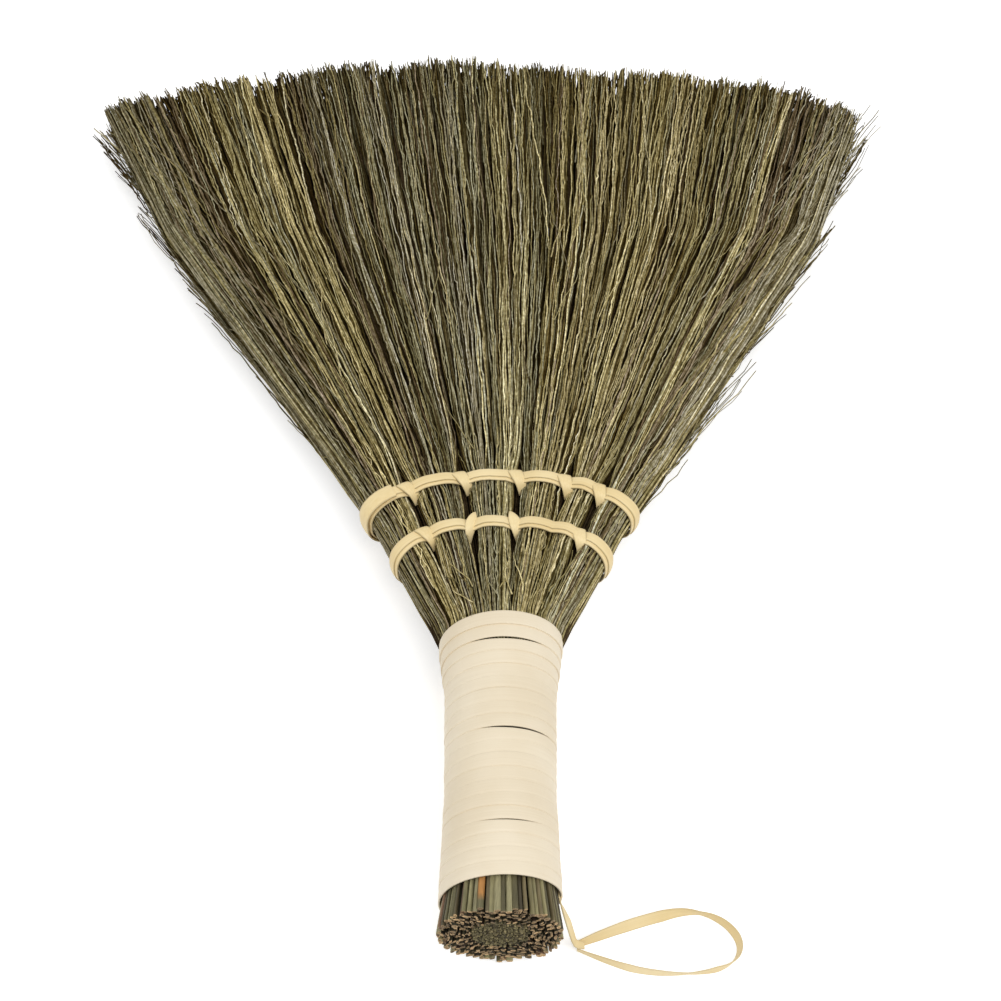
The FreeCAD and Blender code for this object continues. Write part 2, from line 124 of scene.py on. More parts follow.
def seesBackground(tree):  # 1 for the rays that show the background: straight, mirrored or through glass
    path = addNode(tree, "LightPath").outputs
    bent = {0: path["Is Glossy Ray"], 1: path["Is Transmission Ray"]}
    seen = {0: path["Is Camera Ray"], 1: addNode(tree, "Math", {"operation": "MAXIMUM"}, links=bent)}
    return addNode(tree, "Math", {"operation": "MAXIMUM"}, links=seen)


def placeCamera():
    camera = addObject("camera", bpy.data.cameras.new("camera"))
    camera.location = studio["cameraPlace"]
    camera.rotation_euler = (math.radians(90 - studio["cameraDip"]), 0, 0)
    camera.data.lens = studio["lens"]
    camera.data.sensor_width = studio["sensor"]
    camera.data.clip_start = 0.01
    bpy.context.scene.camera = camera


def buildWorld():
    world = bpy.data.worlds.new("studio")
    bpy.context.scene.world = world
    world.use_nodes = True
    tree = world.node_tree
    tree.nodes.clear()
    soft = addNode(tree, "Background", values={"Color": (1, 1, 1, 1), "Strength": studio["skyStrength"]})
    white = addNode(tree, "Background", values={"Color": (1, 1, 1, 1), "Strength": 1.0})
    both = addNode(tree, "MixShader", links={0: seesBackground(tree), 1: soft, 2: white})
    addNode(tree, "OutputWorld", links={"Surface": both})


def layFloor():
    deselectAll()
    bpy.ops.mesh.primitive_plane_add(size=studio["floorSize"], location=(0, 0, -studio["floorDrop"]))
    floor = bpy.context.object
    floor.name = "floor"
    material, tree, shader = startMaterial("whitePaper", 0.9, 0.5)  # matt studio paper, keeps the shadow
    shader.inputs["Base Color"].default_value = (0.9, 0.9, 0.9, 1)
    shader.inputs["Emission Color"].default_value = (1, 1, 1, 1)
    glow = {1: studio["floorLift"]}
    lift = addNode(tree, "Math", {"operation": "MULTIPLY"}, glow, {0: seesBackground(tree)})
    feed(shader, {"Emission Strength": lift})
    floor.data.materials.append(material)


def hangLamps():
    for name, (power, size, place) in studio["lamps"].items():
        lamp = addObject(name, bpy.data.lights.new(name, "AREA"))
        lamp.data.energy = power
        lamp.data.size = size
        lamp.location = place
        aim = Vector((0, 0, 0)) - lamp.location
        lamp.rotation_euler = aim.to_track_quat("-Z", "Y").to_euler()


bpy.context.scene.view_settings.view_transform = "Standard"
placeCamera()
buildWorld()
layFloor()
hangLamps()
print("studio ready")


# materials

def makeDryGrass():  # dry panicle grass: dull, each stem its own olive, tan or grey, mottled with chaff
    material, tree, shader = startMaterial("dryGrass", 0.85, 0.02)
    # the stem's tone, which carries the painted light and shade laid on by depth
    tone = addNode(tree, "Attribute", {"attribute_name": "toneWithPaintedLightAndShade"})
    place = addNode(tree, "TexCoord").outputs["Object"]
    chaff = {"Scale": 1 / 0.0014, "Detail": 2.0}  # about 1.4 mm long
    noise = addNode(tree, "TexNoise", values=chaff, links={"Vector": place})
    share = addNode(tree, "MapRange", values={"From Min": 0.32, "From Max": 0.68}, links={"Value": noise})
    mottle = {"A": (0.64, 0.61, 0.5, 1), "B": (1.36, 1.39, 1.54, 1)}  # browner where it is darker
    factor = addNode(tree, "Mix", {"data_type": "RGBA"}, mottle, {"Factor": share})
    colour = addNode(tree, "VectorMath", {"operation": "MULTIPLY"}, links={0: tone, 1: factor})
    feed(shader, {"Base Color": colour})
    return material


def makeCutStalk():  # flattened dry leaf sheaths: satin grey-green, fine ribs along the stalk
    material, tree, shader = startMaterial("cutStalk", 0.55, 0.35)
    # the stalk's tone, which carries the painted shade in and behind the cut ends and the painted light on
    # them
    tone = addNode(tree, "Attribute", {"attribute_name": "toneWithPaintedLightAndShade"})
    place = addNode(tree, "TexCoord").outputs["Object"]
    ribs = {"Scale": (1 / 0.0005, 1 / 0.012, 1 / 0.0005)}  # 0.5 mm apart, 12 mm long
    lines = addNode(tree, "Mapping", values=ribs, links={"Vector": place})
    noise = addNode(tree, "TexNoise", values={"Scale": 1.0, "Detail": 3.0}, links={"Vector": lines})
    shade = {"From Min": 0.3, "From Max": 0.7, "To Min": 0.72, "To Max": 1.22}
    factor = addNode(tree, "MapRange", values=shade, links={"Value": noise})
    colour = addNode(tree, "VectorMath", {"operation": "SCALE"}, links={0: tone, "Scale": factor})
    bump = addNode(tree, "Bump", values={"Strength": 0.4, "Distance": 0.0002}, links={"Height": noise})
    feed(shader, {"Base Color": colour, "Normal": bump})
    return material


strips = {  # lengths in metres; edgePaintedShade is the brightness that the last 0.4 mm fall to, a painted shade along the edges
    "creamCaneStrip": {"light": "#ecdfc6", "deep": "#e4d5b9", "length": 2.2, "width": 0.0045,
                       "roughness": 0.5, "edgePaintedShade": 0.96},
    "yellowCaneStrip": {"light": "#f3dfae", "deep": "#e6cd95", "length": 0.4, "width": 0.0035,
                        "roughness": 0.45, "edgePaintedShade": 0.6},
    "strawRibbon": {"light": "#f0dcae", "deep": "#e4cc96", "length": 0.12, "width": 0.003,
                    "roughness": 0.5, "edgePaintedShade": 0.8},
}


def makeFlatStrip(name):  # drawn cane strip: smooth, soft sheen, faint draw lines, painted shade along its edges
    row = strips[name]
    material, tree, shader = startMaterial(name, row["roughness"], 0.4)
    flat = addNode(tree, "UVMap", {"uv_map": "UVMap"})
    solid = addNode(tree, "TexCoord").outputs["Object"]
    drawn = {"Scale": (row["length"] / 0.03, row["width"] / 0.0004, 1.0)}  # lines 0.4 mm apart
    lines = addNode(tree, "Mapping", values=drawn, links={"Vector": flat})
    fine = addNode(tree, "TexNoise", values={"Scale": 1.0, "Detail": 2.0}, links={"Vector": lines})
    drift = {"Scale": 1 / 0.02, "Detail": 2.0}  # over 20 mm
    broad = addNode(tree, "TexNoise", values=drift, links={"Vector": solid})
    mixed = addNode(tree, "Math", {"operation": "MULTIPLY_ADD"}, {1: 0.45}, {0: fine, 2: broad})
    share = addNode(tree, "MapRange", values={"From Min": 0.55, "From Max": 0.95}, links={"Value": mixed})
    tones = {"A": toLinear(row["deep"]), "B": toLinear(row["light"])}
    colour = addNode(tree, "Mix", {"data_type": "RGBA"}, tones, {"Factor": share})
    across = addNode(tree, "SeparateXYZ", links={"Vector": flat}).outputs["Y"]
    offset = addNode(tree, "Math", {"operation": "SUBTRACT"}, {1: 0.5}, {0: across})
    away = addNode(tree, "Math", {"operation": "ABSOLUTE"}, links={0: offset})
    # painted shade: the last 0.4 mm of each edge fall to edgePaintedShade, for the shadow lines along the
    # strip's sides
    edge = {"From Min": 0.5 - 0.0004 / row["width"], "From Max": 0.5, "To Min": 1.0,
            "To Max": row["edgePaintedShade"]}
    rim = addNode(tree, "MapRange", values=edge, links={"Value": away})
    edgeShadedColour = addNode(tree, "VectorMath", {"operation": "SCALE"}, links={0: colour, "Scale": rim})
    bump = addNode(tree, "Bump", values={"Strength": 0.12, "Distance": 0.0001}, links={"Height": fine})
    feed(shader, {"Base Color": edgeShadedColour, "Normal": bump})
    return material


def makeTwistedCord():  # twisted natural cord, dull and speckled, hidden under the winding
    material, tree, shader = startMaterial("twistedCord", 0.85, 0.5)
    place = addNode(tree, "TexCoord").outputs["Object"]
    fibres = {"Scale": 1 / 0.0008, "Detail": 2.0}  # 0.8 mm long
    noise = addNode(tree, "TexNoise", values=fibres, links={"Vector": place})
    shade = {"From Min": 0.3, "From Max": 0.7, "To Min": 0.7, "To Max": 1.1}
    factor = addNode(tree, "MapRange", values=shade, links={"Value": noise})
    tone = {0: toLinear("#c4b083")[:3]}
    colour = addNode(tree, "VectorMath", {"operation": "SCALE"}, tone, {"Scale": factor})
    feed(shader, {"Base Color": colour})
    return material


dryGrass = makeDryGrass()
cutStalk = makeCutStalk()
wrapStrip = makeFlatStrip("creamCaneStrip")
bindStrip = makeFlatStrip("yellowCaneStrip")
loopRibbon = makeFlatStrip("strawRibbon")
cordFibre = makeTwistedCord()
print("materials ready")


# flat strips: a grid laid out point by point, then thickened and its edges rounded

def layStrip(name, stepsAlong, stepsAcross, place, row, material):
    deselectAll()
    bpy.ops.mesh.primitive_grid_add(x_subdivisions=stepsAlong, y_subdivisions=stepsAcross, size=1)
    strip = bpy.context.object
    strip.name = name
    for vertex in strip.data.vertices:
        vertex.co = place(vertex.co.x + 0.5, vertex.co.y)
    body = strip.modifiers.new("body", "SOLIDIFY")
    body.thickness = row["thick"] * mm
    body.offset = 0
    body.use_even_offset = True
    bpy.ops.object.modifier_apply(modifier="body")
    rim = strip.modifiers.new("rim", "BEVEL")
    rim.width = row["edge"] * mm
    rim.segments = 2
    rim.limit_method = "ANGLE"
    rim.angle_limit = math.radians(60)
    bpy.ops.object.modifier_apply(modifier="rim")
    bpy.ops.object.mode_set(mode="EDIT")
    bpy.ops.mesh.select_all(action="SELECT")
    bpy.ops.mesh.normals_make_consistent(inside=False)
    bpy.ops.object.mode_set(mode="OBJECT")
    bpy.ops.object.shade_smooth_by_angle(angle=math.radians(50))
    strip.data.materials.append(material)
    return strip


def joinPieces(first, *others):
    pick(first)
    for other in others:
        other.select_set(True)
    bpy.ops.object.join()
    return first


def rideOn(piece, body, slot, *nodes):
    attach(piece, body)
    if nodes:
        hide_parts(*nodes)


# hanging loop: one ribbon on its edge, which leans and twists as it goes round

loop = {
    "foot": (31.0, -200.5),
    "route": [(0.0, 0.8), (10.1, 4.9), (22.1, 8.9), (34.6, 11.9), (44.6, 8.9), (50.1, 1.7),
              (47.6, -5.1), (38.1, -8.1), (25.1, -8.4), (12.6, -6.1), (0.0, -0.8)],
    "height": 1.55,
    "width": 3.2,
    "thick": 0.35,
    "edge": 0.1,
    "leanWay": [0.0, 0.06, 0.15, 0.25, 0.31, 0.36, 0.42, 0.48, 0.54, 0.61, 0.69, 0.77, 0.85, 0.93, 1.0],
    "lean": [24, 38, 46, 44, 20, -8, 16, 30, 22, -8, 16, -6, -16, -6, 8],  # degrees from upright, outwards
    "broad": [0.8, 1.0, 1.16, 1.16, 1.06, 1.0, 1.0, 1.0, 1.0, 1.0, 1.0, 1.0, 1.0, 0.9, 0.75],  # of the width
    "length": 0.1108,
}


def splinePoints(name, points):
    holder = addCurve(name, "NURBS", points)
    holder.data.resolution_u = 12
    holder.data.splines[0].order_u = 3
    holder.data.splines[0].use_endpoint_u = True
    bpy.context.view_layer.update()
    line = bpy.data.meshes.new_from_object(holder)
    spots = [vertex.co.copy() for vertex in line.vertices]
    bpy.data.objects.remove(holder)
    bpy.data.meshes.remove(line)
    return spots


def layLoop():
    footX, footY = loop["foot"]
    points = [((footX + x) * mm, (footY + y) * mm, loop["height"] * mm) for x, y in loop["route"]]
    line = np.array(splinePoints("loopLine", points))
    way = np.concatenate([[0], np.cumsum(np.linalg.norm(np.diff(line, axis=0), axis=1))])
    tangent = np.gradient(line, axis=0)
    tangent /= np.linalg.norm(tangent, axis=1)[:, None]
    total = way[-1]

    def place(t, w):
        spot = np.array([np.interp(t * total, way, line[:, i]) for i in range(3)])
        along = np.array([np.interp(t * total, way, tangent[:, i]) for i in range(3)])
        outward = np.array([-along[1], along[0], 0])  # the loop runs clockwise seen from above
        lean = math.radians(float(np.interp(t, loop["leanWay"], loop["lean"])))
        across = math.sin(lean) * outward + math.cos(lean) * np.array([0, 0, 1])
        width = loop["width"] * float(np.interp(t, loop["leanWay"], loop["broad"]))
        return Vector(spot + across * w * width * mm)

    ribbon = layStrip("hangLoop", 120, 5, place, loop, loopRibbon)
    rideOn(ribbon, "loop", "ribbon", "hang_loop")
    print("loop laid, length", round(float(total), 4))


layLoop()


tail = {  # centre line and width direction of the folded tail, mm from the axis, the butt and the floor
    "way": [0.0, 0.33, 0.47, 0.64, 0.8, 0.9, 0.95, 1.0],
    "x": [16.6, 17.1, 18.4, 20.3, 21.7, 22.4, 23.3, 25.2],
    "along": [22.0, 11.5, 9.4, 7.4, 5.7, 4.9, 4.6, 4.3],
    "z": [21.0, 20.6, 18.2, 12.0, 6.0, 3.9, 3.2, 3.1],  # ends flat above the loop, which swings under it
    "acrossX": [0.1, 0.1, -0.15, -0.4, -0.4, -0.2, -0.05, 0.1],
    "acrossAlong": [0.0, 0.0, -0.6, -0.85, -0.95, -1.0, -1.0, -1.0],
    "acrossZ": [1.0, 1.0, 0.75, 0.3, 0.15, 0.1, 0.0, 0.0],
    "width": [3.0, 3.0, 3.0, 2.8, 2.6, 2.6, 2.6, 2.2],
    "thick": 0.5,
    "edge": 0.12,
}


def layTail():
    def place(t, w):
        def read(key):
            return float(np.interp(t, tail["way"], tail[key]))

        across = Vector((read("acrossX"), read("acrossAlong"), read("acrossZ"))).normalized()
        middle = Vector((axisX + read("x"), read("along") - halfLength, read("z")))
        return (middle + across * w * read("width")) * mm

    ribbon = layStrip("loopTail", 60, 4, place, tail, loopRibbon)
    rideOn(ribbon, "broom", "ribbon", "loop_tail")


layTail()
print("tail folded")


# form of the head, in mm from the cut butt, and the bands that draw it in

head = {
    "along": [80, 102, 118, 147, 180, 300, 410],
    "width": [15.0, 20.4, 28.8, 43.2, 62.2, 133.2, 179.0],
    "height": [15.0, 20.2, 16.5, 12.9, 11.9, 12.0, 13.0],
    "sink": [0.0, 0.0, 0.0, 0.9, 2.6, 6.2, 7.7],
    "lean": [0.0, 0.0, 0.0, 0.0, 0.0, 3.5, 9.5],  # the fan leans to the left
    "power": [2.0, 2.0, 2.4, 2.8, 3.2, 4.5, 6.0],  # 2 is an oval, more is squarer
    "lobe": [0.0, 0.05, 0.16, 0.27, 0.2, 0.06, 0.04],  # share of the height that a seam dips
    "lobeReach": 0.15,  # share of the half width over which it dips
    "furrow": [0.0, 0.0, 0.5, 0.85, 1.8, 2.4, 2.4],  # depth between two tufts
    "axis": 20.9,
    "tipRadius": 450.0,
    "tipReach": 166.0,  # half width of the cut of the tips
    "tipShift": 8.0,
    "side": 0.97,  # the outermost stems, as a share of the half width
    "seams": [-0.636, -0.25, 0.12, 0.447, 0.70],
    "tufts": [6, 7, 7, 6, 5, 5],  # in each of the six bundles
}
bands = {  # each strip crosses the front twice and dips at every seam that has a stitch
    "lower": {"side": 132.0, "bow": 9.3, "seams": [-0.636, -0.25, 0.12, 0.70]},
    "upper": {"side": 151.5, "bow": 11.9, "seams": head["seams"]},
    "width": 3.4,
    "thick": 0.5,
    "edge": 0.14,
    "turns": 1.6,
    "startAngle": 200.0,
    "shift": 1.25,
    "lift": 0.55,
    "plyLift": 0.62,
    "crown": 0.22,
    "pull": 0.9,  # share of a seam's dip that the strip follows
    "slack": 0.4,  # where no stitch pulls it down
}
bundleEdges = [-head["side"], *head["seams"], head["side"]]
fanSpan = 2 * head["side"]
tuftEdges = np.concatenate([np.linspace(left, right, tufts + 1)[:-1]
                            for left, right, tufts in zip(bundleEdges, bundleEdges[1:], head["tufts"])]
                           + [[head["side"]]])


def headRow(key, along):
    return np.interp(along, head["along"], head[key])


def seamDip(share):
    away = np.min([np.abs(share - seam) for seam in head["seams"]], axis=0)
    return (1 - np.clip(away / head["lobeReach"], 0, 1)) ** 2


def furrowDip(share):  # 0 on the crest of a tuft, 1 between two tufts
    tuft = np.clip(np.searchsorted(tuftEdges, share) - 1, 0, len(tuftEdges) - 2)
    way = (share - tuftEdges[tuft]) / (tuftEdges[tuft + 1] - tuftEdges[tuft])
    return np.clip(np.abs(2 * way - 1), 0, 1) ** 1.4


def headSpot(share, level, below, along):  # level 1 is the top surface, -1 the underside; below is under it
    power = headRow("power", along)
    inside = np.clip(1 - np.abs(share) ** power, 0, 1) ** (1 / power)
    top = headRow("height", along) * inside * (1 - headRow("lobe", along) * seamDip(share))
    top = top - headRow("furrow", along) * furrowDip(share)
    up = head["axis"] - headRow("sink", along) + level * top - np.sign(level) * below
    across = axisX + share * headRow("width", along) - headRow("lean", along)
    return np.stack([across, along - halfLength, up], axis=-1)


def edgeSpot(hand, angle, below, along):  # on the rounded side wall, by the angle round it
    power = headRow("power", along)
    out = np.abs(np.cos(angle)) ** (2 / power) * (headRow("width", along) - below)
    tall = headRow("height", along) - below - 0.6 * headRow("furrow", along)
    up = np.sign(angle) * np.abs(np.sin(angle)) ** (2 / power) * tall
    across = axisX + hand * out - headRow("lean", along)
    return np.stack([across, along - halfLength, head["axis"] - headRow("sink", along) + up], axis=-1)


def tipAlong(share):  # the cut of the tips, a shallow arc
    away = share * head["tipReach"] - head["tipShift"] + head["lean"][-1]
    return 2 * halfLength - (head["tipRadius"] - np.sqrt(head["tipRadius"] ** 2 - away ** 2))


# round and flattened stems: many tubes in one mesh, with a tone for each, painted light and shade included,
# and a patch of the map for each

def tubeSpots(spots, radii, sides, flat, turn, heading):
    heading = heading / np.linalg.norm(heading, axis=-1, keepdims=True)
    side = np.cross(heading, np.array([0.0, 0.0, 1.0]))
    side /= np.linalg.norm(side, axis=-1, keepdims=True)
    lift = np.cross(side, heading)
    angle = np.arange(sides) * 2 * math.pi / sides
    wide, high = np.cos(angle)[None], flat[:, None] * np.sin(angle)[None]
    across = wide * np.cos(turn)[:, None] - high * np.sin(turn)[:, None]
    up = wide * np.sin(turn)[:, None] + high * np.cos(turn)[:, None]
    ring = across[:, None, :, None] * side[:, :, None, :] + up[:, None, :, None] * lift[:, :, None, :]
    return spots[:, :, None, :] + radii[:, :, None, None] * ring


def tubeMap(count, rings, sides):  # a cell for each tube: its wall at the left, its ends at the right
    cells = math.ceil(math.sqrt(count))
    cell = 1 / cells
    corner = np.stack([np.arange(count) % cells, np.arange(count) // cells], axis=-1) * cell
    k, r = np.meshgrid(np.arange(sides), np.arange(rings - 1))
    corners = ((k, r), (k + 1, r), (k + 1, r + 1), (k, r + 1))
    square = np.stack([np.stack(pair, -1) for pair in corners], axis=2)
    square = 0.05 + 0.8 * square / np.array([sides, rings - 1])
    wallMap = corner[:, None, None, None, :] + cell * square[None]
    angle = np.arange(sides) * 2 * math.pi / sides
    ring = np.stack([np.cos(angle), np.sin(angle)], -1) * 0.04
    nearMap = corner[:, None, :] + cell * (np.array([0.92, 0.2]) + ring)[None, ::-1, :]
    farMap = corner[:, None, :] + cell * (np.array([0.92, 0.6]) + ring)[None]
    return np.concatenate([wallMap.ravel(), nearMap.ravel(), farMap.ravel()])


def buildTubes(name, spots, radii, sides, tones, material, flat=None, turn=None, heading=None):
    count, rings = radii.shape
    flat = np.ones(count) if flat is None else flat
    turn = np.zeros(count) if turn is None else turn
    heading = np.gradient(spots, axis=1) if heading is None else heading
    verts = tubeSpots(spots, radii, sides, flat, turn, heading)

    index = np.arange(count * rings * sides).reshape(count, rings, sides)
    near, far = index[:, :-1, :], index[:, 1:, :]
    quads = np.stack([near, np.roll(near, -1, axis=2), np.roll(far, -1, axis=2), far], axis=-1).reshape(-1, 4)
    caps = np.concatenate([index[:, 0, ::-1], index[:, -1, :]], axis=0)
    loops = np.concatenate([quads.ravel(), caps.ravel()])
    totals = np.concatenate([np.full(len(quads), 4), np.full(len(caps), sides)])
    starts = np.concatenate([[0], np.cumsum(totals)[:-1]])

    mesh = bpy.data.meshes.new(name)
    mesh.vertices.add(verts.size // 3)
    mesh.vertices.foreach_set("co", verts.astype(np.float32).ravel())
    mesh.loops.add(len(loops))
    mesh.loops.foreach_set("vertex_index", loops.astype(np.int32))
    mesh.polygons.add(len(totals))
    mesh.polygons.foreach_set("loop_start", starts.astype(np.int32))
    mesh.polygons.foreach_set("use_smooth", np.ones(len(totals), dtype=bool))
    mesh.update(calc_edges=True)
    mesh.validate()

    chart = mesh.uv_layers.new(name="OFBake")
    chart.data.foreach_set("uv", tubeMap(count, rings, sides).astype(np.float32))
    # the tone of each ring, with its painted light and shade, goes to every corner of that ring
    shade = np.ones((count, rings, sides, 4), dtype=np.float32)
    shade[..., :3] = tones[:, :, None, :]
    layer = mesh.color_attributes.new(name="toneWithPaintedLightAndShade", type="FLOAT_COLOR", domain="POINT")
    layer.data.foreach_set("color", shade.ravel())
    mesh.materials.append(material)
    return addObject(name, mesh)


# grass bundles

grass = {
    # how many raised and sunken stems in the whole fan, rings of each, start and end in mm from the butt
    # (0 ends at the tips), upper or under face, depth of the sunken ones, radius at root, middle and tip
    "layerKeys": ("raised", "sunken", "rings", "begin", "end", "face", "deep", "radius", "kink"),
    "layers": {
        "topLong": (36, 90, (76, 28), (90, 94), (0, 0), 1, (0.5, 2.6), (0.26, 0.33, 0.34), 0.16),
        "topHead": (56, 200, (36, 18), (90, 94), (175, 225), 1, (0.45, 2.2), (0.26, 0.30, 0.26), 0.2),
        "topMiddle": (140, 270, (42, 20), (145, 205), (265, 335), 1, (0.45, 2.4), (0.27, 0.33, 0.26), 0.16),
        "topOuter": (165, 480, (44, 22), (240, 310), (0, 0), 1, (0.45, 2.6), (0.28, 0.35, 0.36), 0.15),
        "topFrizz": (80, 0, (28, 0), (98, 150), (165, 240), 1, (0, 0), (0.16, 0.2, 0.14), 0.32),
        "topFine": (140, 0, (42, 0), (170, 320), (0, 0), 1, (0, 0), (0.18, 0.24, 0.2), 0.2),
        "lowLong": (36, 80, (40, 20), (90, 94), (0, 0), -1, (0.5, 2.6), (0.32, 0.4, 0.34), 0.28),
        "lowHead": (50, 160, (22, 13), (90, 94), (175, 225), -1, (0.45, 2.2), (0.32, 0.36, 0.30), 0.26),
        "lowMiddle": (130, 220, (24, 15), (145, 205), (265, 335), -1, (0.45, 2.4), (0.32, 0.38, 0.30), 0.28),
        "lowOuter": (170, 380, (26, 16), (240, 310), (0, 0), -1, (0.45, 2.6), (0.32, 0.4, 0.38), 0.26),
        "tipFill": (0, 1800, (0, 4), (366, 388), (0, 0), 1, (0.8, 6.5), (0.42, 0.42, 0.36), 0.15),
        "inner": (0, 2400, (0, 6), (335, 362), (0, 0), 0, (0.8, 2.0), (0.4, 0.4, 0.34), 0.2),
    },
    "headEdge": {"count": 76, "rings": 22, "begin": (90, 94), "end": (150, 260),
                 "radius": (0.3, 0.36, 0.28), "kink": 0.3},
    "fanEdge": {"count": 120, "rings": 24, "begin": (120, 270), "end": (0, 0),
                "radius": (0.3, 0.38, 0.28), "kink": 0.36},
    # stems that run outwards and end on the side edge
    "sideRun": {"count": 130, "rings": 26, "begin": (125, 320), "run": (60, 150),
                "radius": (0.24, 0.32, 0.22), "kink": 0.2, "dim": 0.78},
    # a mass of stems under the surface, painted deep umber as shade between the stems: its depths under the
    # top and the underside
    "core": {"count": 110, "rings": 9, "depths": [(1, 3.4), (1, 6.6), (-1, 3.4), (-1, 6.6)],
             "begin": 93, "short": 10.0, "side": 0.955},
    # mm that the tips stand out from the arc, by share across the fan
    "tipRise": [(-1.0, 4.0), (-0.93, 3.0), (-0.85, 0.5), (-0.5, -1.5), (-0.32, 2.0), (-0.2, 0.0),
                (-0.12, 2.0), (-0.05, 7.0), (0.01, 5.5), (0.08, 3.3), (0.15, -0.5), (0.21, -3.0),
                (0.35, -4.0), (0.42, 0.0), (0.48, 2.8), (0.55, -2.0), (0.62, -0.5), (0.68, 0.0),
                (0.75, 4.5), (0.82, 5.5), (0.89, 0.5), (0.95, 3.0)],
    "tones": {"khaki": "#b3a777", "gold": "#b5a672", "olive": "#978b5f", "greyGreen": "#9d9673",
              "tan": "#b5a676", "straw": "#c4b88e", "grey": "#a09779", "bark": "#8a7a5d", "umber": "#604f36"},
    "toneMix": [0.2, 0.06, 0.15, 0.15, 0.12, 0.12, 0.08, 0.08, 0.04],
    "freeTones": 0.38,  # share of the stems that take any tone; the rest take the one that leads there
    "deepen": (1.0, 1.08, 1.4),  # a darker stem is browner: powers for red, green and blue
    # the tone that leads, and the brightness, at each share across the fan
    "drift": [(-1.0, "bark"), (-0.9, "grey"), (-0.82, "bark"), (-0.74, "gold"), (-0.66, "khaki"),
              (-0.58, "gold"), (-0.5, "bark"), (-0.44, "grey"), (-0.37, "greyGreen"), (-0.29, "grey"),
              (-0.2, "greyGreen"), (-0.11, "grey"), (-0.02, "greyGreen"), (0.07, "khaki"),
              (0.15, "greyGreen"), (0.24, "gold"), (0.34, "tan"), (0.44, "gold"), (0.54, "tan"),
              (0.63, "gold"), (0.71, "olive"), (0.79, "gold"), (0.87, "bark"), (0.94, "grey")],
    "driftBright": [(-1.0, 0.9), (-0.8, 0.95), (-0.7, 1.04), (-0.55, 1.02), (-0.45, 0.92), (-0.3, 0.9),
                    (-0.15, 1.0), (0.1, 0.99), (0.25, 1.05), (0.5, 1.05), (0.75, 1.05), (0.85, 0.9),
                    (1.0, 0.88)],
}
stem = {  # mm, and shares of a stem's length
    "past": 4.0,  # that the longest reach past the arc
    "ragged": 1.4,
    "broken": (30, 0.15),  # how much some are short, and the share of those
    "longWave": (130, 280),
    "shortWave": (24, 60),
    "slip": 1.6,  # how far its tip wanders across its neighbours
    "stray": (7, 0.12),  # how far some wander, and the share of those
    "dive": 1.6,  # how far a loose end lies under the others
    "diveShare": 0.14,
    "raised": (-0.4, 0.15),  # depth of the raised ones
    "overFloor": 0.25,
    "gatherAlong": [90, 150, 220, 320, 405],
    "gather": [1.0, 1.0, 0.92, 0.9, 1.04],  # below 1 is towards the middle of its tuft
    "fadeAlong": [90, 130, 200, 330, 385, 410],
    "fade": [0.84, 0.94, 1.02, 0.98, 0.86, 0.8],
    "depths": [-0.4, 0.2, 0.7, 1.4, 3.0],
    # painted light and shade: the stems that lie highest are lighter, deeper ones browner and darker as shade
    # between the stems; red, green and blue at those depths
    "paintedShadeAtDepths": [[1.3, 1.04, 0.5, 0.22, 0.11], [1.32, 1.04, 0.455, 0.178, 0.08],
                  [1.4, 1.04, 0.365, 0.095, 0.036]],
    "leastLight": 0.5,  # of a cut end and of the face of the tips
    "seamPush": 1.7,  # at a stitch
    "seamReach": 11,  # along the stem
    "seamShare": 0.12,  # of the half width
    "swayFrom": 100,
    "swayOver": 300,
    "rootEnd": 120,  # a stem that begins farther on comes up from under the others
}
toneNames = list(grass["tones"])
toneTable = np.array([toLinear(text)[:3] for text in grass["tones"].values()])
deepen = np.array(grass["deepen"])
tuftRng = np.random.default_rng(17)
tuftCount = len(tuftEdges) - 1
tuftWidth = np.diff(tuftEdges)
tuftShare = tuftEdges[:-1] + tuftWidth * tuftRng.uniform(0.4, 0.6, tuftCount)
tuftRise = np.interp(tuftShare, *zip(*grass["tipRise"]))
tuftShort = np.minimum(tuftRng.gamma(1.5, 2.0, tuftCount), 7) - tuftRise  # mm that each tuft stops short
tuftBright = np.clip(np.exp(tuftRng.normal(0, 0.13, tuftCount)), 0.72, 1.18)
tuftBright = tuftBright * np.interp(tuftShare, *zip(*grass["driftBright"]))


def pickTones(rng, tuft):
    count = len(tuft)
    places = np.array([spot for spot, name in grass["drift"]])
    leaders = np.array([toneNames.index(name) for spot, name in grass["drift"]])
    near = np.argmin(np.abs(tuftShare[tuft][:, None] - places[None]), axis=1)
    free = rng.random(count) < grass["freeTones"]
    chosen = np.where(free, rng.choice(len(toneNames), count, p=grass["toneMix"]), leaders[near])
    bright = np.clip(np.exp(rng.normal(0.0, 0.27, count)), 0.4, 1.4) * tuftBright[tuft]
    return toneTable[chosen] * bright[:, None] ** deepen


def seamOpening(root, share, along):  # stems part where a stitch pulls through, each to its own side
    moved = np.zeros_like(share)
    for seam in head["seams"]:
        side = np.where(root[:, None] >= seam, 1.0, -1.0)
        for band in (bands["lower"], bands["upper"]):
            if seam not in band["seams"]:
                continue
            middle = band["side"] + band["bow"] * (1 - seam ** 2)
            pull = np.exp(-((along - middle) / stem["seamReach"]) ** 2)
            away = side * (share - seam)
            near = np.clip(1 - np.maximum(away, 0) / stem["seamShare"], 0, 1)
            push = stem["seamPush"] / headRow("width", along) * near
            back = np.where(away > -0.1, np.maximum(-away, 0), 0)  # a stem that strayed over the seam
            moved += side * (push * (away < stem["seamShare"]) + back) * pull
    return share + moved


# painted shade by depth among the stems, and painted light on the highest ones
def depthPaintedShade(depth):
    return np.stack([np.interp(depth, stem["depths"], fade) for fade in stem["paintedShadeAtDepths"]], axis=-1)


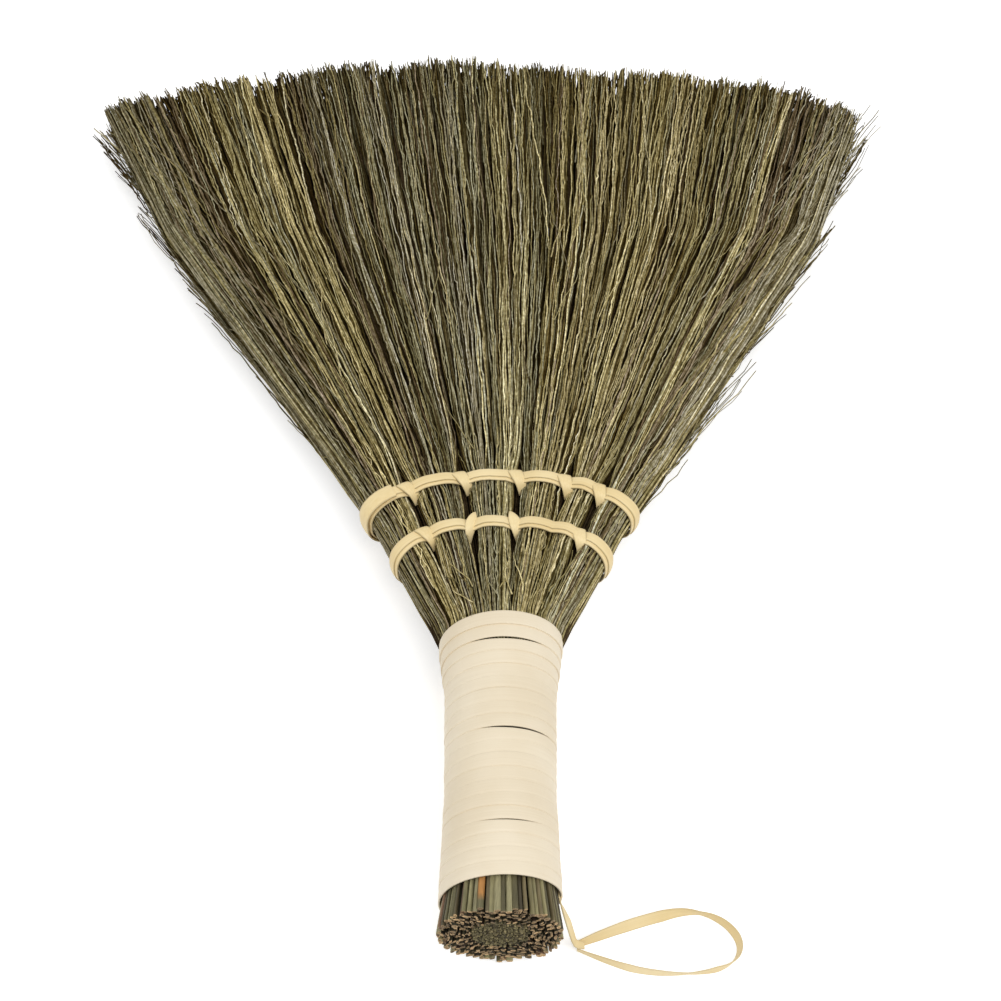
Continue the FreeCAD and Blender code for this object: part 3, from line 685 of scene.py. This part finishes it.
def growStems(rng, row, rings, share, tuft, level, below, angle=None):
    count = len(share)
    tips = tipAlong(share) + stem["past"] - tuftShort[tuft] - rng.exponential(stem["ragged"], count)
    tips -= rng.uniform(0, stem["broken"][0], count) * (rng.random(count) < stem["broken"][1])
    inFan = row["end"][1] > 0
    end = rng.uniform(*row["end"], count) if inFan else tips
    begin = np.minimum(rng.uniform(*row["begin"], count), end - 10)
    t = np.append(np.linspace(0, 0.97, rings - 1), 1.0)[None]
    along = begin[:, None] + (end - begin)[:, None] * t
    reach = np.clip((along - stem["swayFrom"]) / stem["swayOver"], 0, 1)

    phase = rng.uniform(0, wave, (4, count, 1))
    slow = wave * along / rng.uniform(*stem["longWave"], (count, 1))
    quick = wave * along / rng.uniform(*stem["shortWave"], (count, 1))
    sway = np.sin(slow + phase[0]) * (0.2 + 0.6 * reach) + np.sin(quick + phase[1]) * (0.15 + 0.2 * reach)
    sway += rng.normal(0, 1, along.shape) * row["kink"] * (0.8 + 0.3 * reach)
    slip = rng.normal(0, stem["slip"], (count, 1))
    stray = rng.normal(0, stem["stray"][0], (count, 1)) * (rng.random((count, 1)) < stem["stray"][1])
    sway += (slip + stray) * t * reach
    lift = np.sin(quick + phase[2]) * 0.15 + rng.normal(0, 0.15, along.shape)

    depth = below[:, None] + 0.3 * np.sin(slow + phase[3])
    if begin.min() > stem["rootEnd"]:
        depth = depth + stem["dive"] * np.clip(1 - t / stem["diveShare"], 0, 1)
    if inFan:
        depth = depth + stem["dive"] * np.clip((t - (1 - stem["diveShare"])) / stem["diveShare"], 0, 1)
    home = tuftShare[tuft][:, None]
    gather = np.interp(along, stem["gatherAlong"], stem["gather"])
    shareRow = home + (share[:, None] - home) * gather + sway / headRow("width", along)
    shareRow = np.clip(seamOpening(share, shareRow, along), -0.995, 0.995)
    if angle is None:
        level = level[:, None]
        spots = headSpot(shareRow, level, np.where(np.abs(level) < 1, 0, np.maximum(depth, -0.5)), along)
    else:
        turned = angle[:, None] + 0.03 * sway
        spots = edgeSpot(np.sign(share)[:, None], turned, np.maximum(depth, -0.3), along)
    spots[..., 2] += lift
    root, middle, tip = row["radius"]
    radii = np.interp(t, [0, 0.5, 0.97, 1], [root, middle, tip, tip * 0.6])
    radii = radii * rng.uniform(0.72, 1.3, (count, 1))
    spots[..., 2] = np.maximum(spots[..., 2], radii + stem["overFloor"])

    # painted shade: a stem grows darker and browner the deeper it lies among the others; cut tips keep at
    # least leastLight
    paintedShade = depthPaintedShade(depth)
    if row.get("face") == 0:
        paintedShade = np.maximum(paintedShade, stem["leastLight"])  # stems that show only in the face of the tips
    if not inFan:
        paintedShade[:, -1] = np.maximum(paintedShade[:, -1], stem["leastLight"])
    tones = pickTones(rng, tuft)[:, None, :] * paintedShade
    fade = np.interp(along, stem["fadeAlong"], stem["fade"]) * rng.uniform(0.8, 1.2, along.shape)
    return spots * mm, radii * mm, tones * fade[..., None] ** deepen


def growSide(rng, hand, tuft):
    row = grass["sideRun"]
    count = row["count"]
    t = np.linspace(0, 1, row["rings"])[None]
    begin = rng.uniform(*row["begin"], count)
    finish = rng.uniform(0.94, 1.05, count)
    run = rng.uniform(*row["run"], count)
    end = np.minimum(begin + run, tipAlong(hand * finish) + rng.uniform(-6, 3, count))
    along = begin[:, None] + (end - begin)[:, None] * t
    start = finish - rng.uniform(0.04, 0.24, count) * (end - begin) / 100
    quick = wave * along / rng.uniform(*stem["shortWave"], (count, 1))
    sway = np.sin(quick + rng.uniform(0, wave, (count, 1))) * 0.4 + rng.normal(0, row["kink"], along.shape)
    share = hand * (start[:, None] + (finish - start)[:, None] * t ** 1.3) + sway / headRow("width", along)
    level = np.where(rng.random(count) < 0.65, 1.0, rng.uniform(-1, 1, count))[:, None]
    raised = rng.random(count) < 0.35
    below = np.where(raised, rng.uniform(*stem["raised"], count), rng.uniform(0.4, 1.8, count))
    depth = below[:, None] + 1.4 * np.clip(1 - t / stem["diveShare"], 0, 1)
    spots = headSpot(share, level, np.where(np.abs(level) < 1, 0, depth), along)
    radii = np.interp(t, [0, 0.5, 1], row["radius"]) * rng.uniform(0.7, 1.3, (count, 1))
    spots[..., 2] = np.maximum(spots[..., 2], radii + stem["overFloor"])
    # painted shade by depth, as for the other stems
    tones = pickTones(rng, np.full(count, tuft))[:, None, :] * depthPaintedShade(depth)
    fade = row["dim"] * rng.uniform(0.8, 1.2, along.shape)
    return spots * mm, radii * mm, tones * fade[..., None] ** deepen


def growCore(rng, left, right):
    row = grass["core"]
    umber = np.array(toLinear(grass["tones"]["umber"])[:3])
    count = int(row["count"] * (right - left) / fanSpan)
    t = np.linspace(0, 1, row["rings"])[None]
    parts = []
    for face, below in row["depths"]:
        order = np.arange(count) + 0.5 + rng.uniform(-0.2, 0.2, count)
        share = np.clip(left + (right - left) * order / count, -row["side"], row["side"])
        end = tipAlong(share) - row["short"] - rng.uniform(0, 8, count)
        along = row["begin"] + (end[:, None] - row["begin"]) * t
        radii = 0.6 * 2 * headRow("width", along) / row["count"] * np.where(t > 0.99, 0.3, 1)
        depth = np.minimum(below, 0.6 * headRow("height", along))
        share = np.broadcast_to(share[:, None], along.shape)
        spots = headSpot(share, np.full((count, 1), 0.999 * face), depth, along)
        spots[..., 2] = np.maximum(spots[..., 2], radii + 0.3)
        # painted shade: core stems are umber dimmed to 0.35 to 0.75, so the gaps between the stems above read
        # as shade
        tones = umber * rng.uniform(0.35, 0.75, (count, 1, 1)) * np.ones(along.shape + (1,))
        parts.append((spots * mm, radii * mm, tones))
    return parts


def growEdge(rng, row, hand, tuft):
    count = row["count"]
    angle = rng.choice([-1, 1], count) * math.radians(32) * rng.uniform(0.02, 1, count) ** 1.2
    raised = rng.random(count) < 0.22
    below = np.where(raised, rng.uniform(-0.2, 0.2, count), rng.uniform(0.5, 2.4, count))
    share = np.full(count, 0.96 * hand)
    return growStems(rng, row, row["rings"], share, np.full(count, tuft), np.ones(count), below, angle)


def growBundle(number):
    rng = np.random.default_rng(40 + number)
    left, right = bundleEdges[number - 1], bundleEdges[number]
    tufts = np.where((tuftShare >= left) & (tuftShare < right))[0]
    grown = []
    for layer in grass["layers"].values():
        row = dict(zip(grass["layerKeys"], layer))
        for key, rings, deep in zip(("raised", "sunken"), row["rings"], (stem["raised"], row["deep"])):
            count = int(row[key] * (right - left) / fanSpan)
            if count == 0:
                continue
            if key == "raised":
                order = np.arange(count) + 0.5 + rng.uniform(-0.35, 0.35, count)
                share = left + (right - left) * order / count
            else:
                home = rng.choice(tufts, count)
                share = tuftShare[home] + rng.normal(0, 0.42, count) * tuftWidth[home]
            share = np.clip(share, left + 0.003, right - 0.003)
            tuft = np.clip(np.searchsorted(tuftEdges, share) - 1, 0, tuftCount - 1)
            level = np.full(count, float(row["face"])) if row["face"] else rng.uniform(-0.9, 0.9, count)
            grown.append(growStems(rng, row, rings, share, tuft, level, rng.uniform(*deep, count)))
    if number in (1, 6):
        hand, edgeTuft = (-1.0, tufts[0]) if number == 1 else (1.0, tufts[-1])
        grown += [growEdge(rng, grass[key], hand, edgeTuft) for key in ("headEdge", "fanEdge")]
        grown.append(growSide(rng, hand, edgeTuft))
    grown += growCore(rng, left, right)
    pieces = []
    for rings in dict.fromkeys(part[1].shape[1] for part in grown):  # one mesh for each number of rings
        parts = [part for part in grown if part[1].shape[1] == rings]
        spots, radii, tones = [np.concatenate(column) for column in zip(*parts)]
        pieces.append(buildTubes("bundle%dRings%d" % (number, rings), spots, radii, 3, tones, dryGrass))
    bundle = joinPieces(*pieces)
    bundle.name = "grassBundle%d" % number
    rideOn(bundle, "broom", "grass", "grass_bundle_%d" % number)
    print("bundle", number, "has", len(bundle.data.loops) - 2 * len(bundle.data.polygons), "triangles")


for number in range(1, 7):
    growBundle(number)


# loose stems: wisps that leave both side edges of the fan, and hairs that cross its upper side

loose = {
    "wisps": (66, 96),  # at the left and the right edge
    "group": 6,
    "wispBegin": (150, 325),
    "wispRun": (55, 130),
    "wispEnd": (366, 388),
    "wispReach": (3.4, 4.8),  # mm, left and right
    "farthest": 15,
    "hairs": 60,
    "lowHairs": 0.34,  # the share that lies between the winding and the lower band
    "rings": 12,
}


def growWisps(rng, t):
    count = sum(loose["wisps"])
    hand = np.where(np.arange(count) < loose["wisps"][0], -1.0, 1.0)
    group = np.arange(count) // loose["group"]
    begin = rng.uniform(*loose["wispBegin"], count)[group] + rng.normal(0, 14, count)
    run = rng.uniform(*loose["wispRun"], count)[group] * rng.uniform(0.6, 1.1, count)
    end = np.minimum(begin + run, rng.uniform(*loose["wispEnd"], count))
    along = begin[:, None] + (end - begin)[:, None] * t
    reach = rng.gamma(1.8, np.where(hand < 0, *loose["wispReach"]), count)[group]
    reach = np.minimum(reach * rng.uniform(0.5, 1.15, count), loose["farthest"])
    quick = wave * along / rng.uniform(*stem["shortWave"], count)[group][:, None]
    bend = np.sin(quick + rng.uniform(0, 6, count)[group][:, None]) * 0.9 + rng.normal(0, 0.4, along.shape)
    share = hand[:, None] * rng.uniform(0.93, 0.985, (count, 1))
    spots = headSpot(share, rng.uniform(-0.5, 0.9, (count, 1)), 0, along)
    spots[..., 0] += hand[:, None] * (reach[:, None] * t ** 1.5 + bend * t)
    radii = np.interp(t, [0, 1], [0.3, 0.17]) * rng.uniform(0.8, 1.3, (count, 1))
    tones = pickTones(rng, np.where(hand < 0, 0, tuftCount - 1))[:, None, :]
    return spots, radii, tones * rng.uniform(0.45, 0.9, (1, loose["rings"], 1))


def growHairs(rng, t):
    count = loose["hairs"]
    low = rng.random(count) < loose["lowHairs"]
    begin = np.where(low, rng.uniform(104, 112, count), rng.uniform(172, 290, count))
    run = np.where(low, rng.uniform(10, 22, count), rng.uniform(25, 80, count))
    along = begin[:, None] + run[:, None] * t
    width = headRow("width", along)
    share = rng.uniform(-0.85, 0.85, (count, 1))
    share = share + rng.normal(0, 1, (count, 1)) * np.where(low, 5.0, 7.0)[:, None] * t / width
    bend = np.sin(wave * t * rng.uniform(0.4, 1.0, (count, 1)) + rng.uniform(0, 6, (count, 1))) * 1.1
    share = share + (bend + rng.normal(0, 0.12, along.shape)) / width
    above = 0.55 + 1.2 * np.sin(math.pi * t) * rng.uniform(0.2, 1, (count, 1))
    spots = headSpot(np.clip(share, -0.97, 0.97), np.ones((count, 1)), -above, along)
    radii = np.interp(t, [0, 1], [0.24, 0.13]) * rng.uniform(0.8, 1.3, (count, 1))
    tones = pickTones(rng, rng.integers(4, tuftCount - 4, count))[:, None, :]
    return spots, radii, tones * np.ones((1, loose["rings"], 1)) * 1.05


def growLoose():
    rng = np.random.default_rng(9)
    t = np.linspace(0, 1, loose["rings"])[None]
    spots, radii, tones = [np.concatenate(pair) for pair in zip(growWisps(rng, t), growHairs(rng, t))]
    piece = buildTubes("looseStems", spots * mm, radii * mm, 3, tones, dryGrass)
    rideOn(piece, "broom", "grass")


growLoose()
print("loose stems grown")


# winding of the handle: one flat strip, its turns laid like shingles, with three slits where it gapes

winding = {
    "start": 8.6,
    "end": 101.6,
    "turns": 20.0,  # both ends lie underneath
    "pitch": 4.45,
    "width": 4.8,
    "thick": 0.55,
    "edge": 0.12,
    "along": [11, 44, 80, 102],
    "radius": [18.4, 17.3, 18.0, 20.9],
    "inset": 0.3,
    "stepsPerTurn": 72,
    "slits": [(90.4, 80, 50), (58.5, 64, 56), (27.3, 84, 48)],  # mm from the butt, middle angle, half spread
    "slitGape": 0.8,
    "knots": 4,  # hand-made wobbles in each turn
    "proudKnots": 16,  # the last turns near the head stand out
}


def handleSpot(angle, along, radius):
    up = head["axis"] + radius * math.sin(angle)
    return Vector((axisX + radius * math.cos(angle), along - halfLength, up)) * mm


def windHandle():
    width, pitch, turns = winding["width"], winding["pitch"], winding["turns"]
    top = winding["end"] - width / 2 - 0.1
    rng = np.random.default_rng(5)
    knots = int(turns * winding["knots"]) + 3
    wobble = rng.normal(0, 0.12, knots)
    swell = rng.normal(0, 0.05, knots)
    shingle = rng.uniform(0.02, 0.2, knots)
    shingle[-winding["proudKnots"]:] = 0.42

    def place(t, w):
        turn = t * turns

        def read(row):
            return float(np.interp(turn * winding["knots"], range(knots), row))

        angle = math.radians(270 - 360 * turn)
        middle = winding["start"] + pitch / 2 + turn * pitch + read(wobble)
        past = max(0, middle - top)  # the last turn runs level over the one before
        middle -= past
        away = w * width
        for slitAlong, slitAngle, spread in winding["slits"]:
            offTurn = abs(middle + pitch / 2 - slitAlong)
            offAngle = (math.degrees(angle) - slitAngle + 180) % 360 - 180
            if w > 0 and offTurn < pitch / 2 and abs(offAngle) < spread:
                away -= winding["slitGape"] * (w * 2) ** 2 * math.cos(offAngle / spread * math.pi / 2)
        along = min(max(middle + away, winding["start"]), winding["end"])
        radius = float(np.interp(along, winding["along"], winding["radius"])) - winding["inset"]
        radius += -read(shingle) * w + 0.08 * (1 - (2 * w) ** 2) + read(swell)
        return handleSpot(angle, along, radius + min(0.45, 0.5 * past))

    steps = int(turns * winding["stepsPerTurn"])
    strip = layStrip("handleWinding", steps, 5, place, winding, wrapStrip)
    rideOn(strip, "broom", "wrap_strip", "handle_wrap")
    print("winding laid,", turns, "turns")


windHandle()


tie = {"start": 81.6, "pitch": 2.1, "turns": 2.25, "thick": 1.5, "plies": 3, "twist": 9, "stepsPerTurn": 48,
       "neckStart": 80, "neckLength": 22, "neckRadius": 13.6, "neckFlare": 6.2, "lift": 1.0, "lay": 0.4}


def windTie():
    plies = []
    steps = int(tie["turns"] * tie["stepsPerTurn"])
    for ply in range(tie["plies"]):
        points = []
        for step in range(steps + 1):
            turn = tie["turns"] * step / steps
            along = tie["start"] + turn * tie["pitch"]
            neck = tie["neckRadius"] + (along - tie["neckStart"]) / tie["neckLength"] * tie["neckFlare"]
            lay = math.radians(360 * ply / tie["plies"] + 360 * turn * tie["twist"])
            points.append(handleSpot(math.radians(-360 * turn), along + tie["lay"] * math.cos(lay),
                                     neck + tie["lift"] + tie["lay"] * math.sin(lay)))
        holder = addCurve("tiePly%d" % ply, "POLY", points)
        holder.data.bevel_depth = tie["thick"] * 0.27 * mm
        holder.data.bevel_resolution = 1
        pick(holder)
        bpy.ops.object.convert(target="MESH")
        plies.append(bpy.context.object)
    cord = joinPieces(*plies)
    cord.name = "neckTie"
    cord.data.materials.clear()
    cord.data.materials.append(cordFibre)
    rideOn(cord, "broom", "tie_cord", "neck_tie")


windTie()
print("neck tie wound")


# bands across the head, and the strip's broad end lapped round the upper one

def signedPower(base, power):
    return math.copysign(abs(base) ** power, base)


def bandSpot(band, angle, shift, lift):
    row = bands[band]
    turned = math.radians(angle)
    share = signedPower(math.cos(turned), 2 / float(headRow("power", row["side"])))
    along = row["side"] + row["bow"] * (1 - share ** 2) + shift
    keys = ("power", "lobe", "width", "height", "sink")
    power, lobe, wide, tall, sink = [float(headRow(key, along)) for key in keys]
    across, up = signedPower(math.cos(turned), 2 / power), signedPower(math.sin(turned), 2 / power)
    free = [seam for seam in head["seams"] if seam not in row["seams"]]
    slack = any(abs(across - seam) < head["lobeReach"] for seam in free)
    pull = bands["slack"] if slack else bands["pull"]
    dip = lobe * float(seamDip(np.array(across))) * pull
    out = Vector((signedPower(across, power - 1) / wide, 0, signedPower(up, power - 1) / tall)).normalized()
    spot = Vector((axisX + wide * across, along - halfLength, head["axis"] - sink + tall * up * (1 - dip)))
    return (spot + out * lift) * mm


def layBand(band):
    def place(t, w):
        turn = t * bands["turns"]
        shift = bands["shift"] * (turn - bands["turns"] / 2) + w * bands["width"]
        lift = bands["lift"] + bands["plyLift"] * turn + bands["crown"] * (1 - (2 * w) ** 2)
        return bandSpot(band, bands["startAngle"] - 360 * turn, shift, lift)

    strip = layStrip(band + "Band", 360, 6, place, bands, bindStrip)
    rideOn(strip, "broom", "binding_strip", band + "_band")


layBand("lower")
layBand("upper")
print("bands laid")


lap = {"startAngle": 131.0, "endAngle": 222.0, "width": 5.3, "lift": 2.05, "crown": 0.3, "thick": 0.5,
       "edge": 0.14, "startShift": 0.5, "endShift": -0.4, "startDip": 0.5}


def layLap():
    def place(t, w):
        angle = lap["startAngle"] + (lap["endAngle"] - lap["startAngle"]) * t
        shift = w * lap["width"] + lap["startShift"] * (1 - t) + lap["endShift"] * t
        crown = lap["crown"] * (1 - (2 * w) ** 2)
        return bandSpot("upper", angle, shift, lap["lift"] + crown - lap["startDip"] * (1 - min(1, t * 8)))

    strip = layStrip("bandEndLap", 60, 6, place, lap, bindStrip)
    rideOn(strip, "broom", "binding_strip", "band_end_lap")


layLap()
print("end lapped")


# stitches: a strap from the seam above the band, over it, and to a point in the seam below

stitch = {
    "way": [0.0, 0.15, 0.3, 0.45, 0.6, 0.75, 0.88, 1.0],
    "blunt": {  # mm along the seam, above the band and to its side, and the width
        "forward": [3.5, 3.1, 2.1, 0.7, -0.9, -2.3, -3.5, -4.7],
        "height": [-2.6, 0.2, 1.5, 1.8, 1.6, 0.8, -1.0, -4.0],
        "aside": [-2.2, -2.0, -1.6, -0.8, 0.0, 0.8, 1.4, 1.8],
        "width": [3.8, 4.6, 5.0, 4.8, 4.4, 3.9, 3.2, 2.4],
    },
    "pointed": {
        "forward": [4.9, 4.0, 2.7, 1.0, -0.9, -2.6, -4.0, -5.4],
        "height": [1.1, 1.6, 1.8, 1.7, 1.4, 0.5, -1.4, -4.4],
        "aside": [-1.9, -1.4, -0.8, -0.2, 0.3, 0.7, 1.1, 1.3],
        "width": [0.5, 1.6, 3.0, 4.1, 4.0, 3.1, 1.9, 0.5],
    },
    "soften": 0.05,
    "crown": 0.35,
    "tilt": 0.8,  # its left edge stands up
    "slant": 0.25,
    "thick": 0.7,
    "edge": 0.12,
}


def layStitch(band, number, share, pointed, mirror):
    row = bands[band]
    along = row["side"] + row["bow"] * (1 - share ** 2)
    slope = share * (float(headRow("width", along + 4)) - float(headRow("width", along - 4))) / 8
    straight = Vector((slope, 1, 0)).normalized()
    sideways = Vector((straight.y, -straight.x, 0))
    angle = math.degrees(math.acos(signedPower(share, float(headRow("power", along)) / 2)))
    hand = -1 if mirror else 1

    def sheet(face):
        turn = 1 + (bands["startAngle"] - angle) / 360 if face > 0 else (bands["startAngle"] + angle) / 360
        top = bandSpot(band, angle * face, 0, bands["lift"] + bands["plyLift"] * turn) / mm
        form = stitch["pointed" if pointed and face > 0 else "blunt"]

        def place(t, w):
            ways = [min(max(t + off, 0), 1) for off in (-stitch["soften"], 0, stitch["soften"])]
            forward, height, aside, width = [float(np.mean(np.interp(ways, stitch["way"], form[key])))
                                             for key in ("forward", "height", "aside", "width")]
            crown = (stitch["crown"] * (1 - (2 * w) ** 2) - stitch["tilt"] * w) * min(1, width / 3)
            spot = top + straight * (forward + stitch["slant"] * w * width)
            spot = spot + sideways * (hand * aside + w * width)
            return (spot + Vector((0, 0, face * (height + crown)))) * mm

        return layStrip("strap", 28, 5, place, stitch, bindStrip)

    strap = joinPieces(sheet(1), sheet(-1))
    strap.name = "%sStitch%d" % (band, number)
    rideOn(strap, "broom", "binding_strip", "%s_stitch_%d" % (band, number))


for band in ("upper", "lower"):
    for number, share in enumerate(bands[band]["seams"], start=1):
        layStitch(band, number, share, band == "lower" and number in (2, 3), band == "lower" and number == 2)
print("stitches laid")


# butt: flattened stalks round the handle with hollow cut ends, fine stems in the middle

butt = {
    # flat is thickness by width, start mm from the butt, deepShade the painted shade on the stalk behind its
    # cut end
    "outer": {"seed": 1, "count": 70, "radius": 18.2, "width": 0.92, "flat": (0.42, 0.66),
              "start": (-0.8, 0.8), "twist": 0.2, "deepShade": 1.0},
    "inner": {"seed": 2, "flat": (0.26, 0.5), "start": (-0.4, 1.2), "twist": 0.45, "deepShade": 0.2},
    # how many, how far out, half width
    "rings": [(66, 17.1, 0.86), (62, 16.1, 0.84), (58, 15.1, 0.82), (54, 14.1, 0.8), (50, 13.1, 0.78),
              (46, 12.1, 0.76), (42, 11.1, 0.74), (38, 10.1, 0.7), (32, 9.1, 0.66)],
    "tailGap": 0.16,  # radians left free for the ribbon at the right
    "rustAngle": 109,  # degrees, where one stalk is rust brown below the winding
    "core": {"count": 560, "radius": 8.4, "thick": 0.34},
    "stalkTones": ["#8b845f", "#7b7350", "#97906c", "#6e6346", "#7c6047", "#5a513a"],
    "outerMix": [0.3, 0.25, 0.15, 0.12, 0.1, 0.08],
    "endTone": "#a08662",
    "rustTone": "#b07d45",
    # painted shade for the hollow inside each cut end
    "hollowShadeTone": "#1b140c",
    "coreTones": ["#736a49", "#827854", "#574e36", "#90835d"],
    "stalkBack": [1.8, 1.6, 0.0, 0.0, 0.25, 2.5, 5.0, 11.5, 30.0],  # mm: hollow, rim, then along the stalk
    "stalkSize": [0.05, 0.56, 0.68, 0.94, 1.0, 1.0, 1.0, 0.97, 0.95],
    "stemBack": [0.6, 0.0, 0.15, 12.0],
    "stemSize": [0.4, 0.75, 1.0, 1.0],
    # painted light and shade on the fine stems: shade in the recess of each cut end and along the body, light
    # on the cut rim
    "stemShade": [0.2, 1.7, 0.8, 0.2],
    "nipAlong": [0, 11, 44],
    "nip": [0.0, 1.65, 2.7],  # mm that the winding draws the stalks in
}
stalkTones = np.array([toLinear(text)[:3] for text in butt["stalkTones"]])


def buildRods(name, angles, radius, along, thick, sides, shade, flat=None, turn=None):
    across = axisX + radius * np.cos(angles)[:, None]
    up = head["axis"] + radius * np.sin(angles)[:, None]
    spots = np.stack([across, along - halfLength, up], axis=-1)
    heading = np.broadcast_to(np.array([0.0, 1.0, 0.0]), spots.shape)  # along the handle
    return buildTubes(name, spots * mm, thick * mm, sides, shade, cutStalk, flat, turn, heading)


def buildStalks(rng, layer, angles, radius, widths, tones, rust=None):
    row = butt[layer]
    count = len(angles)
    flats = rng.uniform(*row["flat"], count)
    starts = rng.uniform(*row["start"], count)
    turns = math.pi / 2 - angles + rng.normal(0, row["twist"], count)  # flat side outwards
    along = starts[:, None] + np.array(butt["stalkBack"])[None]
    away = radius[:, None] - np.interp(along, butt["nipAlong"], butt["nip"])
    # painted shade on each stalk behind its cut end, deepest on the inner ones so the gaps between the rims
    # look shaded
    shade = tones[:, None, :] * np.array([1] * 4 + [row["deepShade"]] * 5)[None, :, None]
    # painted shade: near-black fills the hollow inside each cut end
    shade[:, :2] = toLinear(butt["hollowShadeTone"])[:3]
    # each cut end gets a random brightness, 0.35 to 2 times its tone: partly its own tone, partly painted
    # light on the end face
    endToneAndPaintedLight = np.random.default_rng(row["seed"]).uniform(0.35, 2.0, (count, 1, 1))
    shade[:, 2:4] = np.array(toLinear(butt["endTone"])[:3]) * endToneAndPaintedLight
    if rust is not None:
        shade[rust, 6:] = toLinear(butt["rustTone"])[:3]
    thick = widths[:, None] * np.array(butt["stalkSize"])[None]
    stalks = buildRods(layer + "Stalks", angles, away, along, thick, 8, shade, flats, turns)
    rideOn(stalks, "broom", "stalk", layer + "_stalks")


def buildOuter(rng):
    row = butt["outer"]
    angles = (np.arange(row["count"]) + rng.uniform(-0.3, 0.3, row["count"])) / row["count"] * 2 * math.pi
    angles = angles[np.abs((angles + math.pi) % (2 * math.pi) - math.pi) > butt["tailGap"]]
    count = len(angles)
    tones = stalkTones[rng.choice(6, count, p=butt["outerMix"])] * rng.uniform(0.45, 1.2, (count, 1))
    rust = int(np.argmin(np.abs(angles - math.radians(butt["rustAngle"]))))
    radius = row["radius"] + rng.uniform(-0.5, 0.15, count)
    widths = row["width"] * rng.uniform(0.7, 1.3, count)
    buildStalks(rng, "outer", angles, radius, widths, tones, rust)


def buildInner(rng):
    rows = []
    for count, radius, width in butt["rings"]:
        angles = (np.arange(count) + rng.uniform(-0.35, 0.35, count)) / count * 2 * math.pi
        rows.append((angles, radius + rng.uniform(-0.4, 0.4, count), width * rng.uniform(0.65, 1.3, count)))
    angles, radius, widths = [np.concatenate(column) for column in zip(*rows)]
    count = len(angles)
    tones = stalkTones[rng.choice(6, count)] * rng.uniform(0.6, 1.1, (count, 1))
    buildStalks(rng, "inner", angles, radius, widths, tones)


def buildMiddle(rng):
    core = butt["core"]
    count = core["count"]
    order = np.arange(count) + 0.5
    radius = core["radius"] * np.sqrt(order / count) + rng.normal(0, 0.16, count)
    angles = order * math.pi * (3 - math.sqrt(5)) + rng.normal(0, 0.05, count)
    coreTones = np.array([toLinear(text)[:3] for text in butt["coreTones"]])
    tones = coreTones[rng.choice(4, count)] * rng.uniform(0.45, 1.1, (count, 1))
    along = rng.uniform(-0.3, 0.7, count)[:, None] + np.array(butt["stemBack"])[None]
    # painted light on the cut rims and painted shade on the bodies, by stemShade
    shade = tones[:, None, :] * np.array(butt["stemShade"])[None, :, None]
    thick = core["thick"] * rng.uniform(0.7, 1.25, (count, 1)) * np.array(butt["stemSize"])[None]
    away = np.broadcast_to(radius[:, None], along.shape)
    stems = buildRods("buttStems", angles, away, along, thick, 6, shade)
    rideOn(stems, "broom", "stalk")


buttRng = np.random.default_rng(23)
buildOuter(buttRng)
buildInner(buttRng)
buildMiddle(buttRng)
print("butt built")

deselectAll()
